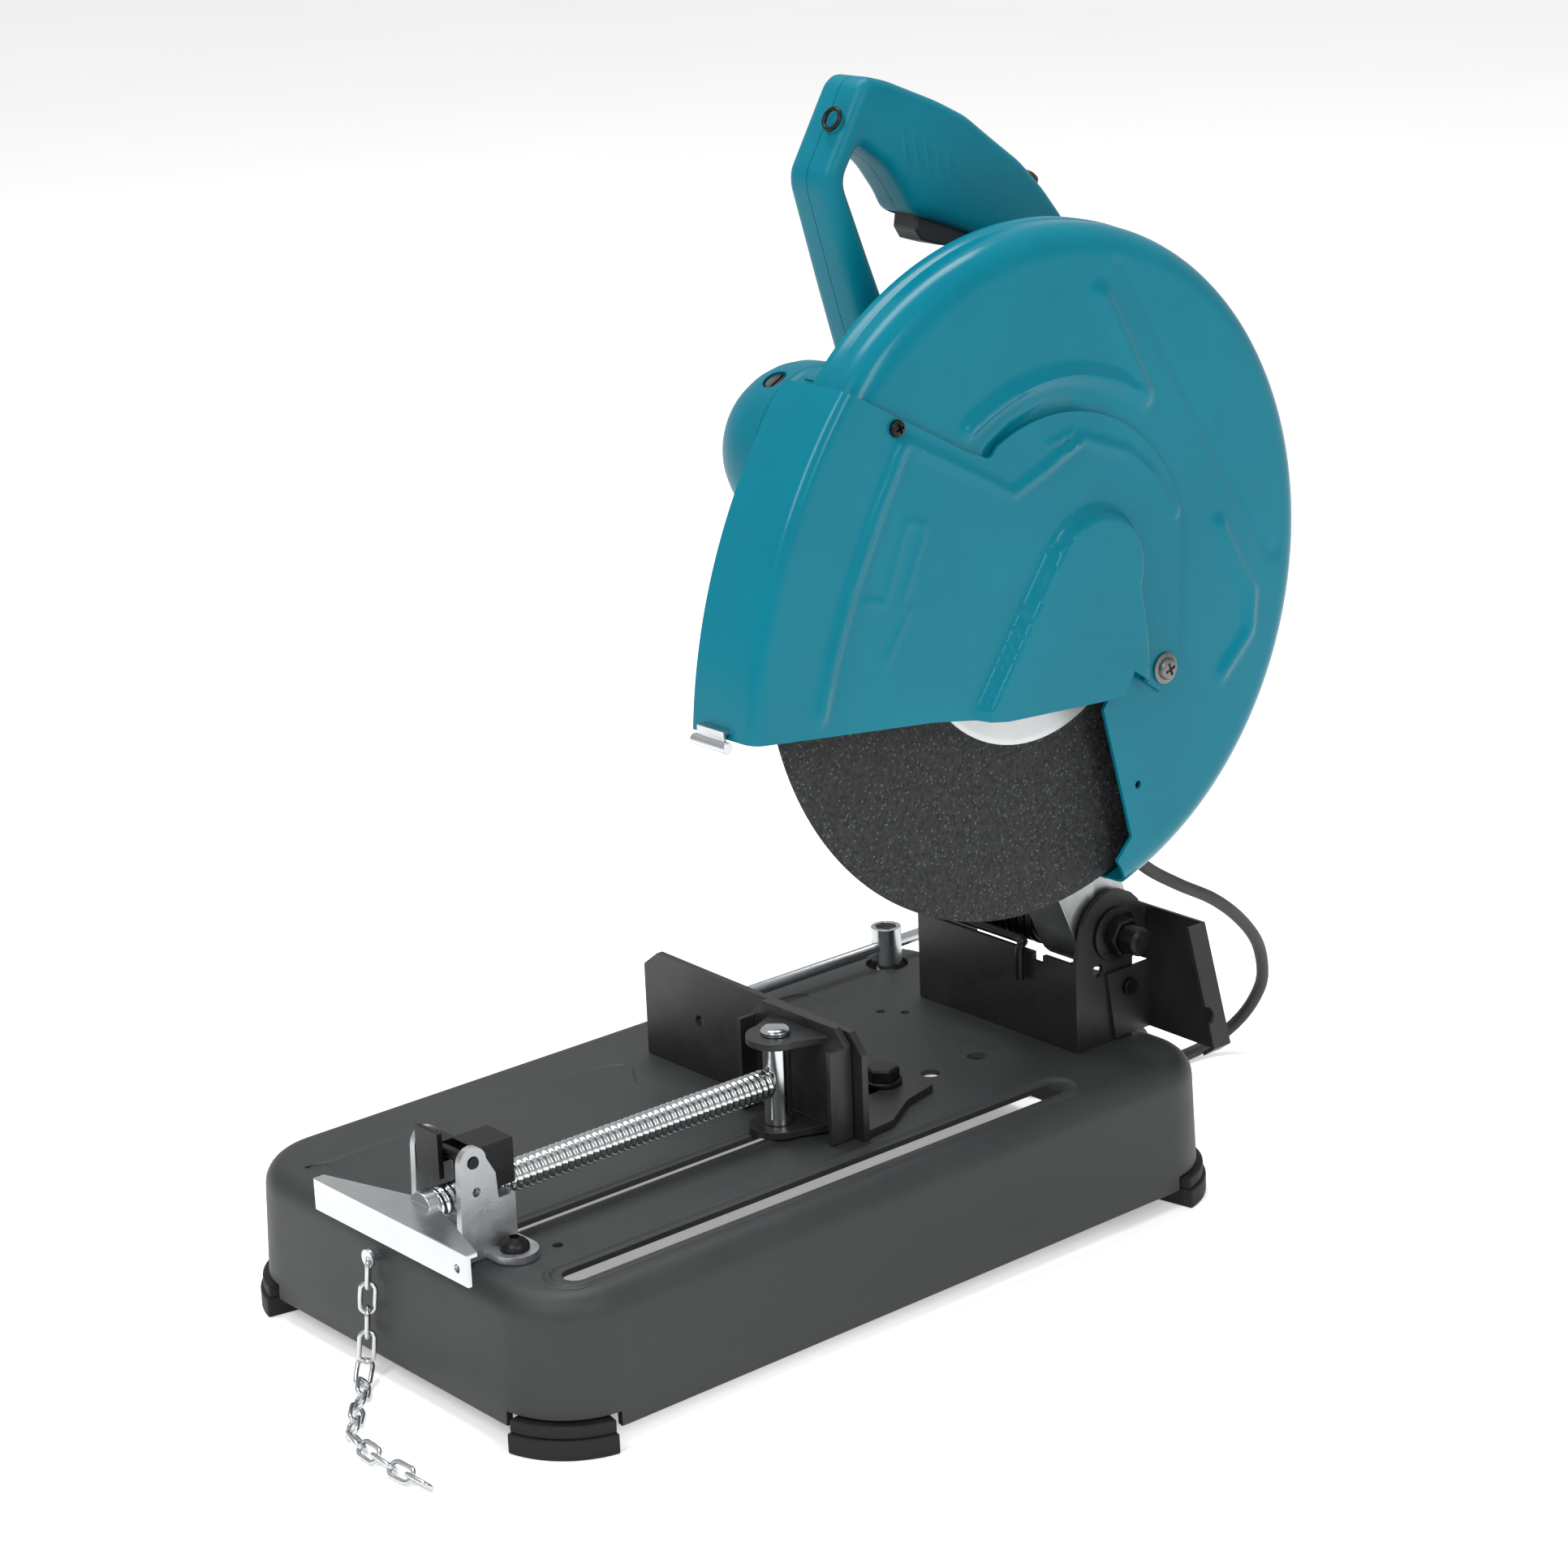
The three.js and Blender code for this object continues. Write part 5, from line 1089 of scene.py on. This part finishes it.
def cross_head(y, z, seat, radius, height, washer=0.0):
    """A pan-head screw with a cross recess, on a washer if it has one."""
    start = (seat, y, z)
    profile = [(washer, 0), (washer, radius), (washer + height * 0.4, radius),
               (washer + height * 0.8, radius * 0.86), (washer + height, radius * 0.55), (washer + height, 0)]
    made = loose("cross_head", *turned(profile, start, along_x, 36))
    for angle in (0.35, 0.35 + pi / 2):
        out = spoke(angle)
        aside = Vector((0, -sin(angle), cos(angle)))
        arm = [Vector(start) + out * s * radius * 0.6 + aside * w * radius * 0.13 + Vector((d, 0, 0))
               for d in (washer + height * 0.35, washer + height + 2)
               for s, w in ((-1, -1), (1, -1), (1, 1), (-1, 1))]
        cut(made, block(arm))
    if not washer:
        return taken(made)
    ring = turned([(0, 0), (0, radius * 1.4), (washer * 0.7, radius * 1.4), (washer, radius * 1.25),
                   (washer, 0)], start, along_x, 40)
    return merged("cross_head", taken(made), mesh_of("washer", *ring))


dull_zinc = surface("dull_zinc", ("6B6A69", "7C7B7A"), 6, 0.01, 1.0, rough=(0.35, 0.45), metallic=0.8)
put_on("cover_screw", cross_head(screw_y, screw_z, cover_out + 0.3, 6, 3, washer=1.5), "head", dull_zinc,
       ("cover_pivot_screw",), turn=35)
put_on("clamp_screw", cross_head(9, 471, cover_out + 0.3, 4.4, 3), "cover", black_oxide,
       ("cover_clamp_screw",), turn=35)

# ------------------------------------------------------------------ D-handle
# Two moulded halves of teal nylon screwed together: a thick grip with a trigger under it and a
# thin front strut. The joint shows as a fine groove all round.
outer_line = [(80, 424), (62, 479), (49, 522), (33.5, 576), (34, 584), (54, 617), (59, 625), (65, 628.2),
              (79, 624.5), (112, 611), (131, 601.5), (149, 588), (169, 573.5), (185, 557.5), (199, 540.5),
              (210, 520), (216, 498), (216, 460), (206, 420), (158, 400)]
inner_line = [(57, 596), (46, 579), (60, 543), (72, 513), (84, 478), (120, 466), (166, 468), (180, 492),
              (173, 520), (148, 535), (118, 547), (93, 556), (88, 566), (76, 582)]


def rounded(line, radius, count=5):
    """An outline with each corner cut back by `radius` mm along its sides and rounded."""
    made = []
    for i, corner in enumerate(line):
        here = Vector(corner)
        before, after = Vector(line[i - 1]), Vector(line[(i + 1) % len(line)])
        cut = min(radius, (here - before).length * 0.45, (here - after).length * 0.45)
        a, b = here + (before - here).normalized() * cut, here + (after - here).normalized() * cut
        for k in range(count + 1):
            t = k / count
            made.append(tuple(a * (1 - t) ** 2 + here * 2 * t * (1 - t) + b * t ** 2))
    return made


handle_x, handle_half = 45.0, 16.0


def inset(line, depth):
    """An outline moved inwards by `depth` mm, or outwards where it is negative."""
    area = sum(a[0] * b[1] - b[0] * a[1] for a, b in zip(line, line[1:] + line[:1]))
    way = 1 if area > 0 else -1
    moved = []
    for i, here in enumerate(line):
        before, after = Vector(line[i - 1]), Vector(line[(i + 1) % len(line)])
        first = (Vector(here) - before).normalized()
        second = (after - Vector(here)).normalized()
        along = (first + second).normalized()
        reach = min(1 / max(along.dot(first), 0.5), 1.6)
        moved.append((here[0] - way * along.y * depth * reach, here[1] + way * along.x * depth * reach))
    return moved


def soft_block(outline, low, high, edge, hollow=False, steps=4):
    """A plate between two x places with rounded edges, or the flared tool that cuts such a hole."""
    rings = []
    if hollow:
        rings.append([(low - 1, y, z) for y, z in inset(outline, -edge)])
    for k in range(steps + 1):
        angle = radians(90 * k / steps)
        depth = edge * (1 - sin(angle)) * (-1 if hollow else 1)
        rings.append([(low + edge * (1 - cos(angle)), y, z) for y, z in inset(outline, depth)])
    for k in range(steps, -1, -1):
        angle = radians(90 * k / steps)
        depth = edge * (1 - sin(angle)) * (-1 if hollow else 1)
        rings.append([(high - edge * (1 - cos(angle)), y, z) for y, z in inset(outline, depth)])
    if hollow:
        rings.append([(high + 1, y, z) for y, z in inset(outline, -edge)])
    return loft(rings)


grip_edge = 6.5
handle = loose("handle", *soft_block(rounded(outer_line, 5), handle_x - handle_half, handle_x + handle_half,
                                     grip_edge))
cut(handle, soft_block(rounded(inner_line, 6), handle_x - handle_half,
                                             handle_x + handle_half, grip_edge, hollow=True))
seat = rod(-10, 50, 50.3, (20, *motor), along_x, 96)
cut(handle, seat)
cut(handle, bar((0, 60, 330), (90, 250, 420)))
trigger_room = [(95, 562), (94, 530), (120, 520), (158, 528), (160, 556), (140, 578), (98, 582)]
cut(handle, slab(trigger_room, handle_x - 9.6, handle_x + 9.6, "x"))
button_at, button_way = (183.5, 558.0), sqrt(0.5)
button_out = Vector((0, button_way, button_way))
button_start = Vector((handle_x, *button_at)) - button_out * 24
cut(handle, rod(0, 48, 5.9, button_start, button_out, 32))
gear_distance = hypot(motor[0] - wheel[0], motor[1] - wheel[1])
case_outer = gear_distance * 45 / 53 + 0.8 * 2 * gear_distance / 53 + 8.3
cut(handle, rod(0, 30, case_outer, (45.7, *wheel),
                                         (1, 0, 0), 64))
for node, name, low, high in (("handle_left", "handle_left_half", 0, handle_x - 0.2),
                              ("handle_right", "handle_right_half", handle_x + 0.2, 90)):
    half = linked(name, handle.data.copy())
    cut(half, bar((low, 0, 380), (high, 260, 660)), "INTERSECT")
    put_on(name, taken(half), "head", teal_nylon, (node,), turn=36)
bpy.data.objects.remove(handle)

# Raised ribs on both sides of the grip, for a dry hold with gloves.
grip_ribs = []
for side in (-1, 1):
    face = handle_x + side * handle_half
    for k in range(6):
        y = 84 + k * 7.5
        top_z = 604 - k * 3.4
        line = [(face, y + 3 * t, top_z - 26 * t) for t in (0, 0.2, 0.4, 0.6, 0.8, 1.0)]
        grip_ribs.append(pressed_line(line, (side, 0, 0), 3.4, 1.0))
ribs_piece = shaped("grip_ribs", gather(*grip_ribs), "head", teal_nylon, turn=60)

# ------------------------------------------------------------------ trigger, lock-off button and ring
# Black nylon controls: the trigger slides up into the grip and the button pushes in.
# A small steel ring hangs at the front for a wrench lanyard.
softened("trigger", "trigger_block", 1.6, black_nylon, "trigger_body", steps=3)
button_profile = [(-14, 0), (-14, 5.5), (5, 5.5), (6.4, 4.8), (7, 3.6), (6.6, 0)]
shaped("button_body_piece", turned(button_profile, (handle_x, *button_at), button_out, 40),
       "button_body", black_nylon, ("lock_off_button",), turn=35)
softened("handle_ring", "lanyard_ring", 0.0, black_oxide, "head", turn=80)
